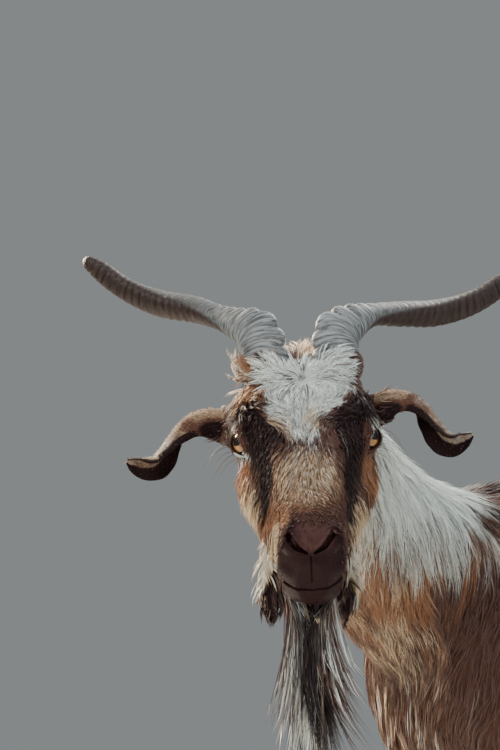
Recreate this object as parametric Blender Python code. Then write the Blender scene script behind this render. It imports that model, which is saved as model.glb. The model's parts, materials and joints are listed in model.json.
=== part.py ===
"""A life-size billy goat with wide horns, standing with its head turned to its left.

The goat faces -Y and its left side is +X. Lengths are metres. The flesh is modelled whole, as
lofts that run into one another, and thin cuts then part it into head, neck, torso, tail and legs.
"""

import math

import bmesh
import bpy
import numpy as np
from mathutils import Matrix, Vector
from mathutils.bvhtree import BVHTree

WITHERS = 0.785  # height of the shoulders
HEAD_TURN = math.radians(50.0)  # the head looks this far to the goat's left
FACE_SLOPE = math.radians(47.0)  # of the face's long axis, from straight down
HEAD_ROLL = math.radians(2.5)  # the crown leans to the goat's right
EYE_LINE = np.array([0.157, -0.674, 0.822])  # midway between the eyes
EYE_OUT, EYE_UP = 0.0572, -0.0030  # an eye's centre, from the midline and out of the face's plane
EYE_RADIUS = 0.0158
EYE_ROWS, EYE_SIDES = 7, 12
GAP = 0.0003  # between two nodes that touch
CORONET = 0.050  # height of the hoof's upper edge at the middle of the foot
CORONET_SLOPE = 0.22  # it rises by this share towards the toe
SEED = 11

BODY_VOXEL, BODY_TRIANGLES = 0.0085, 2600
HEAD_VOXEL, HEAD_TRIANGLES = 0.0032, 1700


def clear_scene():
    for obj in list(bpy.data.objects):
        bpy.data.objects.remove(obj, do_unlink=True)


def material(name, colour, roughness):
    made = bpy.data.materials.new(name)
    made.use_nodes = True
    shader = made.node_tree.nodes["Principled BSDF"]
    shader.inputs["Base Color"].default_value = (*colour, 1.0)
    shader.inputs["Roughness"].default_value = roughness
    shader.inputs["Metallic"].default_value = 0.0
    return made


def mesh_object(name, points, faces):
    """A new object whose place is in its mesh."""
    mesh = bpy.data.meshes.new(name)
    mesh.from_pydata([tuple(map(float, p)) for p in points], [], [tuple(map(int, f)) for f in faces])
    mesh.update()
    obj = bpy.data.objects.new(name, mesh)
    bpy.context.scene.collection.objects.link(obj)
    return obj


def evaluated_mesh(obj):
    """The mesh that the object's modifiers make, as a mesh of its own."""
    bpy.context.view_layer.update()
    graph = bpy.context.evaluated_depsgraph_get()
    return bpy.data.meshes.new_from_object(obj.evaluated_get(graph), depsgraph=graph)


def apply_modifiers(obj):
    mesh = evaluated_mesh(obj)
    obj.modifiers.clear()
    obj.data = mesh
    return obj


def joined(name, objects):
    """One object with the meshes of all of these, which are removed."""
    made = bmesh.new()
    for obj in objects:
        made.from_mesh(obj.data)
        bpy.data.objects.remove(obj, do_unlink=True)
    mesh = bpy.data.meshes.new(name)
    made.to_mesh(mesh)
    made.free()
    obj = bpy.data.objects.new(name, mesh)
    bpy.context.scene.collection.objects.link(obj)
    return obj


def smooth_curve(knots, values, at):
    """Values at the places 'at' on a smooth curve through (knots, values), by cubic Hermite pieces."""
    knots = np.asarray(knots, float)
    values = np.asarray(values, float).reshape(len(knots), -1)
    slope = np.gradient(values, knots, axis=0)
    piece = np.clip(np.searchsorted(knots, at, side="right") - 1, 0, len(knots) - 2)
    step = knots[piece + 1] - knots[piece]
    t = ((at - knots[piece]) / step)[:, None]
    step = step[:, None]
    return (
        (2 * t**3 - 3 * t**2 + 1) * values[piece]
        + (t**3 - 2 * t**2 + t) * step * slope[piece]
        + (3 * t**2 - 2 * t**3) * values[piece + 1]
        + (t**3 - t**2) * step * slope[piece + 1]
    )


def even_rows(table, count):
    """Rows of a table, smoothed and evenly spaced along its first three columns' path."""
    table = np.asarray(table, float)
    run = np.concatenate([[0], np.cumsum(np.linalg.norm(np.diff(table[:, :3], axis=0), axis=1))])
    return smooth_curve(run, table, np.linspace(0, run[-1], count))


def unit(vectors):
    vectors = np.asarray(vectors, float)
    return vectors / np.linalg.norm(vectors, axis=-1, keepdims=True)


def loft(name, rings):
    """A closed tube through rings of points, with a flat cap on each end."""
    rings = np.asarray(rings, float)
    count, sides = rings.shape[:2]
    row, col = np.meshgrid(np.arange(count - 1), np.arange(sides), indexing="ij")
    after = (col + 1) % sides
    quads = np.stack(
        [row * sides + col, row * sides + after, (row + 1) * sides + after, (row + 1) * sides + col], -1
    ).reshape(-1, 4)
    faces = [tuple(q) for q in quads]
    faces.append(tuple(range(sides))[::-1])
    faces.append(tuple(range((count - 1) * sides, count * sides)))
    obj = mesh_object(name, rings.reshape(-1, 3), faces)
    face_outwards(obj)
    return obj


def face_outwards(obj):
    """Turns the surface outwards and splits it in triangles, so that a piece and its cutter match."""
    mesh = bmesh.new()
    mesh.from_mesh(obj.data)
    bmesh.ops.triangulate(mesh, faces=mesh.faces)
    bmesh.ops.recalc_face_normals(mesh, faces=mesh.faces)
    if mesh.calc_volume(signed=True) < 0:
        bmesh.ops.reverse_faces(mesh, faces=mesh.faces)
    mesh.to_mesh(obj.data)
    mesh.free()


def sweep(path, wide, deep, sides, side_axis=(1.0, 0.0, 0.0), power=2.2, turn=0.0):
    """Rings across a path: each is a superellipse with half-widths wide and deep.

    wide lies along side_axis, made square to the path, and deep along the axis square to both.
    """
    path = np.asarray(path, float)
    along = unit(np.gradient(path, axis=0))
    side = np.broadcast_to(np.asarray(side_axis, float), path.shape)
    side = unit(side - np.sum(side * along, axis=1, keepdims=True) * along)
    fore = np.cross(along, side)
    angle = 2 * np.pi * np.arange(sides) / sides + turn
    across = np.sign(np.cos(angle)) * np.abs(np.cos(angle)) ** (2 / power)
    front = np.sign(np.sin(angle)) * np.abs(np.sin(angle)) ** (2 / power)
    wide = np.broadcast_to(np.asarray(wide, float), (len(path),))
    deep = np.broadcast_to(np.asarray(deep, float), (len(path),))
    return (
        path[:, None]
        + (wide[:, None] * across)[..., None] * side[:, None]
        + (deep[:, None] * front)[..., None] * fore[:, None]
    )


def ellipsoid(name, centre, radii, axes=None, detail=2):
    """A ball stretched to three radii along three axes."""
    mesh = bmesh.new()
    bmesh.ops.create_icosphere(mesh, subdivisions=detail, radius=1.0)
    axes = np.eye(3) if axes is None else np.asarray(axes, float)
    for vert in mesh.verts:
        vert.co = Vector(np.asarray(centre) + (np.array(vert.co) * np.asarray(radii)) @ axes)
    data = bpy.data.meshes.new(name)
    mesh.to_mesh(data)
    mesh.free()
    obj = bpy.data.objects.new(name, data)
    bpy.context.scene.collection.objects.link(obj)
    face_outwards(obj)
    return obj


# The head's own axes. look and left are level before the roll, snout runs down the face.

LOOK = np.array([math.sin(HEAD_TURN), -math.cos(HEAD_TURN), 0.0])
ROLL = np.array(Matrix.Rotation(HEAD_ROLL, 3, Vector(LOOK)))
LEFT = ROLL @ np.array([math.cos(HEAD_TURN), math.sin(HEAD_TURN), 0.0])
CROWN = ROLL @ np.array([0.0, 0.0, 1.0])
SNOUT = math.sin(FACE_SLOPE) * LOOK - math.cos(FACE_SLOPE) * CROWN
BROW = math.cos(FACE_SLOPE) * LOOK + math.sin(FACE_SLOPE) * CROWN


def on_head(left, snout, brow):
    """A place in the head: left of the midline, down the face from the eyes, out of the face's plane."""
    left, snout, brow = np.broadcast_arrays(*(np.asarray(v, float)[..., None] for v in (left, snout, brow)))
    return EYE_LINE + left * LEFT + snout * SNOUT + brow * BROW


def seen(left, crown, look):
    """A place by the head, as seen from in front: left of the midline, above and before the eyes."""
    left, crown, look = np.broadcast_arrays(*(np.asarray(v, float)[..., None] for v in (left, crown, look)))
    return EYE_LINE + left * LEFT + crown * CROWN + look * LOOK


# Torso stations: y, top, bottom, half-width, height of the widest place, power above and below.
TORSO = (
    (-0.400, 0.630, 0.500, 0.052, 0.560, 2.0, 2.0),
    (-0.385, 0.680, 0.455, 0.082, 0.560, 2.0, 2.0),
    (-0.340, 0.735, 0.412, 0.108, 0.550, 2.0, 2.1),
    (-0.270, 0.772, 0.390, 0.118, 0.545, 1.9, 2.1),
    (-0.190, WITHERS, 0.382, 0.126, 0.540, 1.7, 2.2),
    (-0.090, 0.772, 0.382, 0.142, 0.545, 1.9, 2.3),
    (0.030, 0.755, 0.388, 0.162, 0.550, 2.2, 2.3),
    (0.150, 0.754, 0.402, 0.166, 0.560, 2.3, 2.3),
    (0.250, 0.766, 0.432, 0.150, 0.590, 2.2, 2.3),
    (0.325, 0.752, 0.465, 0.128, 0.610, 2.0, 2.2),
    (0.385, 0.722, 0.510, 0.102, 0.620, 2.0, 2.1),
    (0.428, 0.686, 0.555, 0.070, 0.620, 2.0, 2.0),
    (0.445, 0.660, 0.585, 0.040, 0.620, 2.0, 2.0),
)
TORSO_ROWS, TORSO_SIDES = 36, 32

# Neck stations: x, y, z, half-width, half-depth.
NECK = (
    (0.000, -0.170, 0.600, 0.075, 0.150),
    (0.002, -0.290, 0.630, 0.084, 0.135),
    (0.018, -0.410, 0.680, 0.078, 0.108),
    (0.050, -0.515, 0.742, 0.067, 0.088),
    (0.080, -0.582, 0.796, 0.060, 0.078),
    (0.104, -0.628, 0.842, 0.050, 0.060),
)

# Leg stations: x, y, z, half-width, half-depth, for the left side.
FRONT_LEG = (
    (0.052, -0.195, 0.700, 0.026, 0.055),
    (0.076, -0.230, 0.620, 0.042, 0.080),
    (0.090, -0.270, 0.540, 0.048, 0.085),
    (0.095, -0.250, 0.470, 0.046, 0.074),
    (0.093, -0.225, 0.425, 0.041, 0.062),
    (0.091, -0.226, 0.370, 0.033, 0.044),
    (0.089, -0.232, 0.310, 0.026, 0.031),
    (0.088, -0.237, 0.262, 0.028, 0.030),
    (0.087, -0.237, 0.228, 0.023, 0.026),
    (0.086, -0.235, 0.180, 0.0185, 0.021),
    (0.085, -0.234, 0.142, 0.0190, 0.022),
    (0.084, -0.237, 0.113, 0.0245, 0.027),
    (0.083, -0.249, 0.083, 0.0235, 0.025),
    (0.082, -0.262, 0.056, 0.0285, 0.032),
    (0.082, -0.268, 0.040, 0.0280, 0.031),
)
HIND_LEG = (
    (0.055, 0.285, 0.710, 0.040, 0.085),
    (0.083, 0.288, 0.620, 0.056, 0.118),
    (0.099, 0.275, 0.540, 0.058, 0.115),
    (0.103, 0.268, 0.475, 0.049, 0.090),
    (0.098, 0.298, 0.420, 0.038, 0.064),
    (0.092, 0.342, 0.370, 0.028, 0.044),
    (0.088, 0.378, 0.325, 0.024, 0.036),
    (0.086, 0.393, 0.288, 0.025, 0.034),
    (0.085, 0.393, 0.248, 0.022, 0.027),
    (0.084, 0.388, 0.200, 0.0185, 0.0225),
    (0.083, 0.382, 0.150, 0.0190, 0.0225),
    (0.082, 0.378, 0.116, 0.0245, 0.027),
    (0.081, 0.364, 0.084, 0.0235, 0.025),
    (0.080, 0.350, 0.056, 0.0285, 0.032),
    (0.080, 0.344, 0.040, 0.0280, 0.031),
)
FRONT, HIND = "front", "hind"
LEGS = {FRONT: FRONT_LEG, HIND: HIND_LEG}
# How far each foot is set ahead (-) or behind (+) of the leg's plain stance.
STRIDE = {(FRONT, 1): -0.018, (FRONT, -1): 0.020, (HIND, 1): 0.030, (HIND, -1): -0.022}
STRIDE_FROM = 0.50  # height above which a leg isn't moved
LEG_ROWS, LEG_SIDES = 30, 14

# Tail stations: x, y, z, half-width, half-depth.
TAIL = (
    (0.000, 0.370, 0.680, 0.026, 0.022),
    (0.000, 0.425, 0.700, 0.026, 0.020),
    (0.000, 0.475, 0.722, 0.024, 0.017),
    (0.000, 0.515, 0.752, 0.019, 0.013),
    (0.000, 0.535, 0.790, 0.009, 0.007),
)

# Head stations, in millimetres from the eye line: down the face, then the half-outline from the
# midline over brow, cheek and jaw to the throat, as places out of the midline and out of the face.
HEAD = (
    (-112, 20, 20, 14, 26, -12, 20, -42, -50),
    (-100, 32, 30, 24, 42, -10, 32, -60, -70),
    (-78, 44, 42, 36, 56, -6, 45, -76, -88),
    (-50, 52, 48, 44, 62, -4, 54, -86, -98),
    (-22, 49, 54, 38, 66, -14, 58, -88, -100),
    (5, 42, 51, 32, 65, -22, 57, -83, -95),
    (34, 36, 39, 27, 59, -28, 51, -76, -88),
    (66, 31, 29, 23, 48, -28, 41, -68, -79),
    (96, 28, 25, 20, 38, -22, 32, -63, -74),
    (122, 25, 24, 16, 33, -18, 27, -63, -75),
    (142, 21, 23, 12, 32, -18, 26, -66, -78),
    (157, 10, 18, 2, 27, -24, 21, -62, -72),
    (166, -6, 9, -12, 15, -30, 12, -52, -60),
)
HEAD_ROWS, HEAD_SIDES = 44, 32


def torso_form():
    rows = smooth_curve([s[0] for s in TORSO], TORSO, np.linspace(TORSO[0][0], TORSO[-1][0], TORSO_ROWS))
    y, top, bottom, half, middle, above, below = (rows[:, [i]] for i in range(7))
    angle = 2 * np.pi * np.arange(TORSO_SIDES) / TORSO_SIDES
    across, rise = np.cos(angle), np.sin(angle)
    power = np.where(rise > 0, above, below)
    x = half * np.sign(across) * np.abs(across) ** (2 / power)
    reach = np.where(rise > 0, top - middle, middle - bottom)
    z = middle + reach * np.sign(rise) * np.abs(rise) ** (2 / power)
    return loft("torso_form", np.stack([x, np.broadcast_to(y, x.shape), z], -1))


def swept_form(name, stations, rows, sides, power=2.2):
    table = even_rows(stations, rows)
    return loft(name, sweep(table[:, :3], table[:, 3], table[:, 4], sides, power=power))


def leg_table(kind, side, rows):
    """A leg's stations on this side, with the foot set ahead or behind by its stride."""
    table = even_rows(LEGS[kind], rows)
    share = np.clip((STRIDE_FROM - table[:, 2]) / STRIDE_FROM, 0, 1)
    table[:, 1] += STRIDE[kind, side] * share**1.3
    table[:, 0] *= side
    return table


def leg_form(kind, side):
    table = leg_table(kind, side, LEG_ROWS)
    name = f"{kind}_{side}"
    forms = [loft(name, sweep(table[:, :3], table[:, 3], table[:, 4], LEG_SIDES))]
    height = table[:, 2]
    at = lambda z: np.array([np.interp(-z, -height, table[:, k]) for k in range(3)])
    knee_z, dewclaw_z = 0.250, 0.094
    if kind == FRONT:
        forms.append(ellipsoid("knee", at(knee_z) + (0, -0.004, 0), (0.027, 0.028, 0.036)))
        elbow = (0.082 * side, -0.165, 0.445)
        forms.append(ellipsoid("elbow", elbow, (0.030, 0.034, 0.040)))
    else:
        forms.append(ellipsoid("hock", at(0.330) + (0, 0.034, 0), (0.013, 0.017, 0.042)))
        forms.append(ellipsoid("gaskin", at(0.385) + (0, 0.030, 0.010), (0.022, 0.032, 0.055)))
        forms.append(ellipsoid("stifle", (0.098 * side, 0.212, 0.478), (0.034, 0.034, 0.052)))
    for out in (-1, 1):
        claw = at(dewclaw_z) + (0.0125 * out, 0.026, 0)
        forms.append(ellipsoid("dewclaw", claw, (0.0072, 0.0085, 0.0115)))
    return forms


def half_outline(station):
    """A head section's points on one side, from the midline above to the midline below."""
    _, top, brow_out, brow, cheek_out, cheek, jaw_out, jaw, throat = station
    return np.array([(0, top), (brow_out, brow), (cheek_out, cheek), (jaw_out, jaw), (0, throat)], float)


def head_form():
    outlines = np.array([half_outline(s).ravel() for s in HEAD]) / 1000
    along = np.array([s[0] for s in HEAD]) / 1000
    places = np.linspace(along[0], along[-1], HEAD_ROWS)
    rows = smooth_curve(along, outlines, places).reshape(HEAD_ROWS, 5, 2)
    rings = []
    for place, half in zip(places, rows):
        mirrored = half[3:0:-1] * (-1, 1)
        ring = np.concatenate([half, mirrored])
        around = np.concatenate([ring[-2:], ring, ring[:3]])
        turns = np.arange(-2, len(ring) + 3)
        curve = smooth_curve(turns, around, len(ring) * np.arange(HEAD_SIDES) / HEAD_SIDES)
        rings.append(on_head(curve[:, 0], place, curve[:, 1]))
    return loft("head_form", rings)


HEAD_AXES = np.array([LEFT, SNOUT, BROW])


def head_lump(left, snout, brow, radii):
    """A rounded form in the head, in millimetres."""
    centre = on_head(left / 1000, snout / 1000, brow / 1000)
    return ellipsoid("lump", centre, np.asarray(radii) / 1000, HEAD_AXES)


def head_lumps():
    lumps = [
        head_lump(0, -50, 36, (40, 26, 24)),  # the crown between the horns
        head_lump(0, 151, -58, (19, 14, 13)),  # lower lip
        head_lump(0, 137, -68, (19, 21, 13)),  # chin
        head_lump(0, 70, 22, (17, 55, 10)),  # nasal bone
    ]
    for side in (-1, 1):
        lumps += [
            head_lump(side * 55, -3, 2, (20, 25, 21)),  # rim of the orbit
            head_lump(side * 50, -14, 21, (17, 20, 14)),  # brow
            head_lump(side * 50, -40, -48, (20, 42, 42)),  # chewing muscle
            head_lump(side * 40, 42, -28, (16, 36, 18)),  # cheek bone
            head_lump(side * 19, 143, 5, (12, 17, 14)),  # wing of the nostril
            head_lump(side * 16, 149, -25, (16, 15, 18)),  # upper lip
            head_lump(side * 36, -54, 46, (25, 27, 22)),  # seat of the horn
        ]
    return lumps


def fused(name, forms, voxel, triangles, passes):
    """Overlapping forms made one skin: remeshed finely, smoothed and thinned to so many triangles."""
    obj = joined(name, forms)
    remesh = obj.modifiers.new("one_skin", "REMESH")
    remesh.mode = "VOXEL"
    remesh.voxel_size = voxel
    soften = obj.modifiers.new("soften", "SMOOTH")
    soften.factor = 0.5
    soften.iterations = passes
    apply_modifiers(obj)
    faces = sum(len(p.vertices) - 2 for p in obj.data.polygons)
    thin = obj.modifiers.new("thin", "DECIMATE")
    thin.ratio = min(1.0, triangles / faces)
    thin.use_collapse_triangulate = True
    return apply_modifiers(obj)


def union(name, pieces):
    """The pieces joined by one Boolean, with only the largest closed surface kept."""
    first = pieces[0]
    rest = bpy.data.collections.new(name + "_pieces")
    bpy.context.scene.collection.children.link(rest)
    for piece in pieces[1:]:
        bpy.context.scene.collection.objects.unlink(piece)
        rest.objects.link(piece)
    join = first.modifiers.new("join", "BOOLEAN")
    join.operation = "UNION"
    join.operand_type = "COLLECTION"
    join.collection = rest
    join.solver = "MANIFOLD"
    apply_modifiers(first)
    for piece in list(rest.objects):
        bpy.data.objects.remove(piece, do_unlink=True)
    bpy.data.collections.remove(rest)
    first.name = name
    return first


def cut(obj, cutters, keep="DIFFERENCE"):
    """Takes the cutters from the object, or keeps only what lies inside one cutter."""
    for cutter in cutters:
        step = obj.modifiers.new("cut", "BOOLEAN")
        step.operation = keep
        step.object = cutter
        step.solver = "MANIFOLD"
        apply_modifiers(obj)
        bpy.data.objects.remove(cutter, do_unlink=True)
    return obj


def islands(mesh):
    """The closed surfaces of a mesh, each as its list of faces."""
    mesh.verts.ensure_lookup_table()
    seen_faces, found = set(), []
    for face in mesh.faces:
        if face in seen_faces:
            continue
        stack, island = [face], []
        seen_faces.add(face)
        while stack:
            here = stack.pop()
            island.append(here)
            for edge in here.edges:
                for other in edge.link_faces:
                    if other not in seen_faces:
                        seen_faces.add(other)
                        stack.append(other)
        found.append(island)
    return found


def largest_surface(obj):
    """Drops every closed surface but the largest, which fills sealed hollows and loses scraps."""
    mesh = bmesh.new()
    mesh.from_mesh(obj.data)
    found = sorted(islands(mesh), key=lambda faces: sum(f.calc_area() for f in faces))
    scraps = [f for island in found[:-1] for f in island]
    bmesh.ops.delete(mesh, geom=scraps, context="FACES")
    mesh.to_mesh(obj.data)
    mesh.free()
    return obj


def copy_of(obj, name):
    made = bpy.data.objects.new(name, obj.data.copy())
    bpy.context.scene.collection.objects.link(made)
    return made


def clearance(obj, distance=GAP):
    """The object made larger by the gap on every side, to be cut from what it sits in."""
    mesh = bmesh.new()
    mesh.from_mesh(obj.data)
    mesh.normal_update()
    moves = [v.normal * distance * min(v.calc_shell_factor(), 4.0) for v in mesh.verts]
    for vert, move in zip(mesh.verts, moves):
        vert.co += move
    mesh.to_mesh(obj.data)
    mesh.free()
    return obj


def hull(name, corners):
    """The convex solid with these corners."""
    mesh = bmesh.new()
    for corner in corners:
        mesh.verts.new(corner)
    bmesh.ops.convex_hull(mesh, input=mesh.verts)
    data = bpy.data.meshes.new(name)
    mesh.to_mesh(data)
    mesh.free()
    obj = bpy.data.objects.new(name, data)
    bpy.context.scene.collection.objects.link(obj)
    face_outwards(obj)
    return obj


def slab(name, centre, normal, radius, thickness=GAP):
    """A thin round plate square to the normal, which parts what it passes through."""
    normal = unit(normal)
    side = unit(np.cross(normal, (0.3, 0.2, 1.0)))
    path = np.array([centre - normal * thickness / 2, centre + normal * thickness / 2])
    angle = 2 * np.pi * np.arange(24) / 24
    up = np.cross(normal, side)
    rim = radius * (np.cos(angle)[:, None] * side + np.sin(angle)[:, None] * up)
    return loft(name, path[:, None] + rim)


# Where the legs leave the torso: the inner edge's height and the slope up to the outside, then
# the sloping planes before and behind, as y at height zero and its change with height.
LEG_PART = {
    FRONT: {"inner": 0.392, "slope": 1.20, "before": (-0.62, 0.0), "behind": (-0.160, 0.11)},
    HIND: {"inner": 0.455, "slope": 1.15, "before": (-0.010, 0.36), "behind": (0.60, 0.0)},
}
LEG_INNER, LEG_OUTER = 0.012, 0.24


def leg_region(kind, side, grow):
    """The part of space that a leg takes: below a plane that rises outwards, between two others."""
    part = LEG_PART[kind]
    corners = []
    for x in (LEG_INNER - grow, LEG_OUTER):
        top = part["inner"] + (x - LEG_INNER) * part["slope"] + grow * math.hypot(1, part["slope"])
        for z in (-0.05, top):
            for (base, lean), way in ((part["before"], -1), (part["behind"], 1)):
                y = base + lean * z + way * grow * math.hypot(1, lean)
                corners.append((x * side, y, z))
    return hull("leg_region", corners)


def coronet_cutter(table):
    """The block under the slanted plane where a foot's flesh ends and the hoof begins."""
    foot = foot_centre(table)
    z_at = lambda y: CORONET - CORONET_SLOPE * (y - foot[1])
    corners = []
    for x in (foot[0] - 0.08, foot[0] + 0.08):
        for y in (foot[1] - 0.09, foot[1] + 0.09):
            corners += [(x, y, z_at(y)), (x, y, -0.02)]
    return hull("coronet_cutter", corners)


def foot_centre(table):
    """The middle of the leg where it meets the hoof."""
    height = table[:, 2]
    return np.array([np.interp(-CORONET, -height, table[:, k]) for k in range(3)])


CLAW_WIDTH, CLEFT = 0.0285, 0.0032
HOOF_SIDES = 10


def claw(name, foot, out):
    """One half of a hoof: D-shaped rings from the sole up to the slanted coronet."""
    rings = []
    for share in (0.0, 0.15, 1.0):
        angle = 2 * np.pi * np.arange(HOOF_SIDES) / HOOF_SIDES
        toe, heel = 0.044 - 0.019 * share, 0.029 + 0.001 * share
        bulge = 1.0 + 0.05 * math.sin(math.pi * share) - (0.04 if share == 0 else 0)
        y = np.where(np.sin(angle) < 0, toe, heel) * np.sin(angle) * bulge
        x = CLAW_WIDTH / 2 * (1 + np.sign(np.cos(angle)) * np.abs(np.cos(angle)) ** 0.8 * bulge)
        x = np.maximum(x * (1 - 0.35 * np.clip(-y / toe, 0, 1) ** 2), 0.0) + CLEFT / 2
        top = CORONET - GAP - CORONET_SLOPE * y
        rings.append(np.stack([foot[0] + out * x, foot[1] + y, share * top], -1))
    return loft(name, rings)


# Horn paths, as seen from in front: left of the midline, above and before the eyes. The two
# differ a little, as a goat's do. The last two columns are the half-width across the broad face
# and the half-thickness.
HORN_PATH = {
    1: (
        (0.0336, 0.0622, -0.010, 0.0220, 0.0178),
        (0.0338, 0.0845, -0.012, 0.0230, 0.0178),
        (0.0366, 0.1020, -0.020, 0.0244, 0.0174),
        (0.0524, 0.1160, -0.034, 0.0182, 0.0160),
        (0.0756, 0.1250, -0.050, 0.0114, 0.0134),
        (0.1044, 0.1270, -0.066, 0.0126, 0.0130),
        (0.1437, 0.1290, -0.088, 0.0140, 0.0134),
        (0.1895, 0.1420, -0.106, 0.0120, 0.0118),
        (0.2251, 0.1638, -0.118, 0.0096, 0.0096),
        (0.2483, 0.1813, -0.124, 0.0056, 0.0056),
    ),
    -1: (
        (0.0372, 0.0650, -0.010, 0.0232, 0.0180),
        (0.0376, 0.0880, -0.012, 0.0240, 0.0180),
        (0.0446, 0.1071, -0.020, 0.0240, 0.0176),
        (0.0640, 0.1200, -0.034, 0.0158, 0.0160),
        (0.0838, 0.1300, -0.050, 0.0122, 0.0136),
        (0.1082, 0.1412, -0.066, 0.0134, 0.0132),
        (0.1477, 0.1530, -0.088, 0.0142, 0.0134),
        (0.1863, 0.1723, -0.106, 0.0112, 0.0112),
        (0.2150, 0.1952, -0.118, 0.0096, 0.0098),
        (0.2318, 0.2077, -0.124, 0.0056, 0.0056),
    ),
}
HORN_BEND = (0.05, 0.35)  # shares of the length between which the keel comes to lie on top
HORN_TWIST = math.radians(80)  # how far it then turns back, from the bend to the tip
HORN_ROWS, HORN_SIDES = 34, 8
KNOB_SPACING, KNOB_HEIGHT = 0.019, 0.0024
KNOB_END = 0.5  # the share of the horn's length where the knobs have died out


def horn(name, side):
    """A horn whose knobbed keel faces inwards at the root, lies on top at the bend and then turns back."""
    table = even_rows(HORN_PATH[side], HORN_ROWS)
    path = seen(table[:, 0] * side, table[:, 1], table[:, 2])
    along = unit(np.gradient(path, axis=0))
    run = np.concatenate([[0], np.cumsum(np.linalg.norm(np.diff(path, axis=0), axis=1))])
    share = run / run[-1]
    inward = unit(-side * LEFT * 0.86 + LOOK * 0.50)
    over = np.clip((share - HORN_BEND[0]) / (HORN_BEND[1] - HORN_BEND[0]), 0, 1)[:, None]
    keel = (1 - over) * inward + over * CROWN
    keel = unit(keel - np.sum(keel * along, axis=1, keepdims=True) * along)
    turn = -side * HORN_TWIST * np.clip((share - 0.25) / 0.60, 0, 1)
    third = np.cross(along, keel)
    keel, third = (
        keel * np.cos(turn)[:, None] + third * np.sin(turn)[:, None],
        third * np.cos(turn)[:, None] - keel * np.sin(turn)[:, None],
    )
    angle = 2 * np.pi * np.arange(HORN_SIDES) / HORN_SIDES
    front = np.cos(angle)
    knob = KNOB_HEIGHT * np.abs(np.sin(np.pi * run / KNOB_SPACING)) * np.clip(1 - share / KNOB_END, 0, 1)
    wide = table[:, 3, None] * front + knob[:, None] * np.clip(front, 0, 1) ** 2
    thick = table[:, 4, None] * np.sin(angle) * (1 - 0.30 * front)
    return loft(name, path[:, None] + wide[..., None] * keel[:, None] + thick[..., None] * third[:, None])


# Ear stations, as seen from in front: out of the midline, above and before the eyes, half-width,
# share of a full tube that the cup makes, and how far it has turned so that its inside shows.
EAR = {
    1: (
        (0.0480, 0.0190, -0.062, 0.0140, 0.58, 150),
        (0.0640, 0.0210, -0.056, 0.0160, 0.57, 148),
        (0.0823, 0.0245, -0.050, 0.0175, 0.55, 140),
        (0.0985, 0.0262, -0.045, 0.0175, 0.52, 118),
        (0.1100, 0.0205, -0.040, 0.0180, 0.49, 95),
        (0.1190, 0.0085, -0.036, 0.0185, 0.46, 80),
        (0.1275, -0.0045, -0.030, 0.0195, 0.44, 70),
        (0.1375, -0.0135, -0.025, 0.0200, 0.42, 64),
        (0.1490, -0.0155, -0.022, 0.0180, 0.40, 58),
        (0.1608, -0.0098, -0.023, 0.0115, 0.36, 50),
        (0.1688, -0.0035, -0.024, 0.0035, 0.28, 45),
    ),
    -1: (
        (0.0569, 0.0100, -0.062, 0.0155, 0.58, 150),
        (0.0794, 0.0130, -0.056, 0.0170, 0.56, 148),
        (0.1000, 0.0150, -0.050, 0.0180, 0.54, 138),
        (0.1150, 0.0095, -0.043, 0.0185, 0.50, 115),
        (0.1265, -0.0030, -0.037, 0.0190, 0.47, 92),
        (0.1380, -0.0175, -0.030, 0.0200, 0.44, 74),
        (0.1505, -0.0265, -0.024, 0.0200, 0.41, 66),
        (0.1640, -0.0260, -0.022, 0.0175, 0.39, 58),
        (0.1758, -0.0200, -0.023, 0.0115, 0.35, 50),
        (0.1822, -0.0150, -0.024, 0.0040, 0.28, 45),
    ),
}
EAR_ROWS, EAR_COLS, EAR_THICK = 14, 6, 0.0034


def ear(name, side):
    """A drooping ear: a sheet curled about its length, which opens and turns over towards the tip."""
    table = even_rows(EAR[side], EAR_ROWS)
    path = seen(table[:, 0] * side, table[:, 1], table[:, 2])
    along = unit(np.gradient(path, axis=0))
    face = np.broadcast_to(LOOK, path.shape)
    face = unit(face - np.sum(face * along, axis=1, keepdims=True) * along)
    up = np.cross(along, face) * side
    turn = np.radians(table[:, 5])
    opening = face * np.cos(turn)[:, None] + up * np.sin(turn)[:, None]
    edge = up * np.cos(turn)[:, None] - face * np.sin(turn)[:, None]
    half_angle = np.pi * np.clip(table[:, 4], 0.05, 0.85)
    radius = table[:, 3] / np.where(half_angle > np.pi / 2, 1.0, np.sin(half_angle))
    over = np.linspace(-1, 1, EAR_COLS)
    angle = half_angle[:, None] * over
    share = np.linspace(0, 1, EAR_ROWS)[:, None]
    rim = 1 - 0.55 * np.abs(over) ** 3
    thick = (EAR_THICK * (1 - 0.35 * share) + 0.003 * np.clip(1 - share / 0.25, 0, 1)) * rim
    sheets = []
    for way in (0.5, -0.5):
        size = radius[:, None] + thick * way
        wide = size * np.sin(angle)
        bend = radius[:, None] * np.cos(half_angle)[:, None] - size * np.cos(angle)
        sheets.append(path[:, None] + wide[..., None] * edge[:, None] + bend[..., None] * opening[:, None])
    rings = np.concatenate([sheets[0], sheets[1][:, ::-1]], axis=1)
    return loft(name, rings)


def eye_axes(side):
    """The way the eye looks, and the two ways across it: towards the nose and up."""
    out = unit(0.76 * side * LEFT + 0.62 * LOOK + 0.10 * CROWN)
    fore = unit(SNOUT - np.dot(SNOUT, out) * out)
    rise = np.cross(out, fore) * -side
    return out, fore, rise


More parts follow.
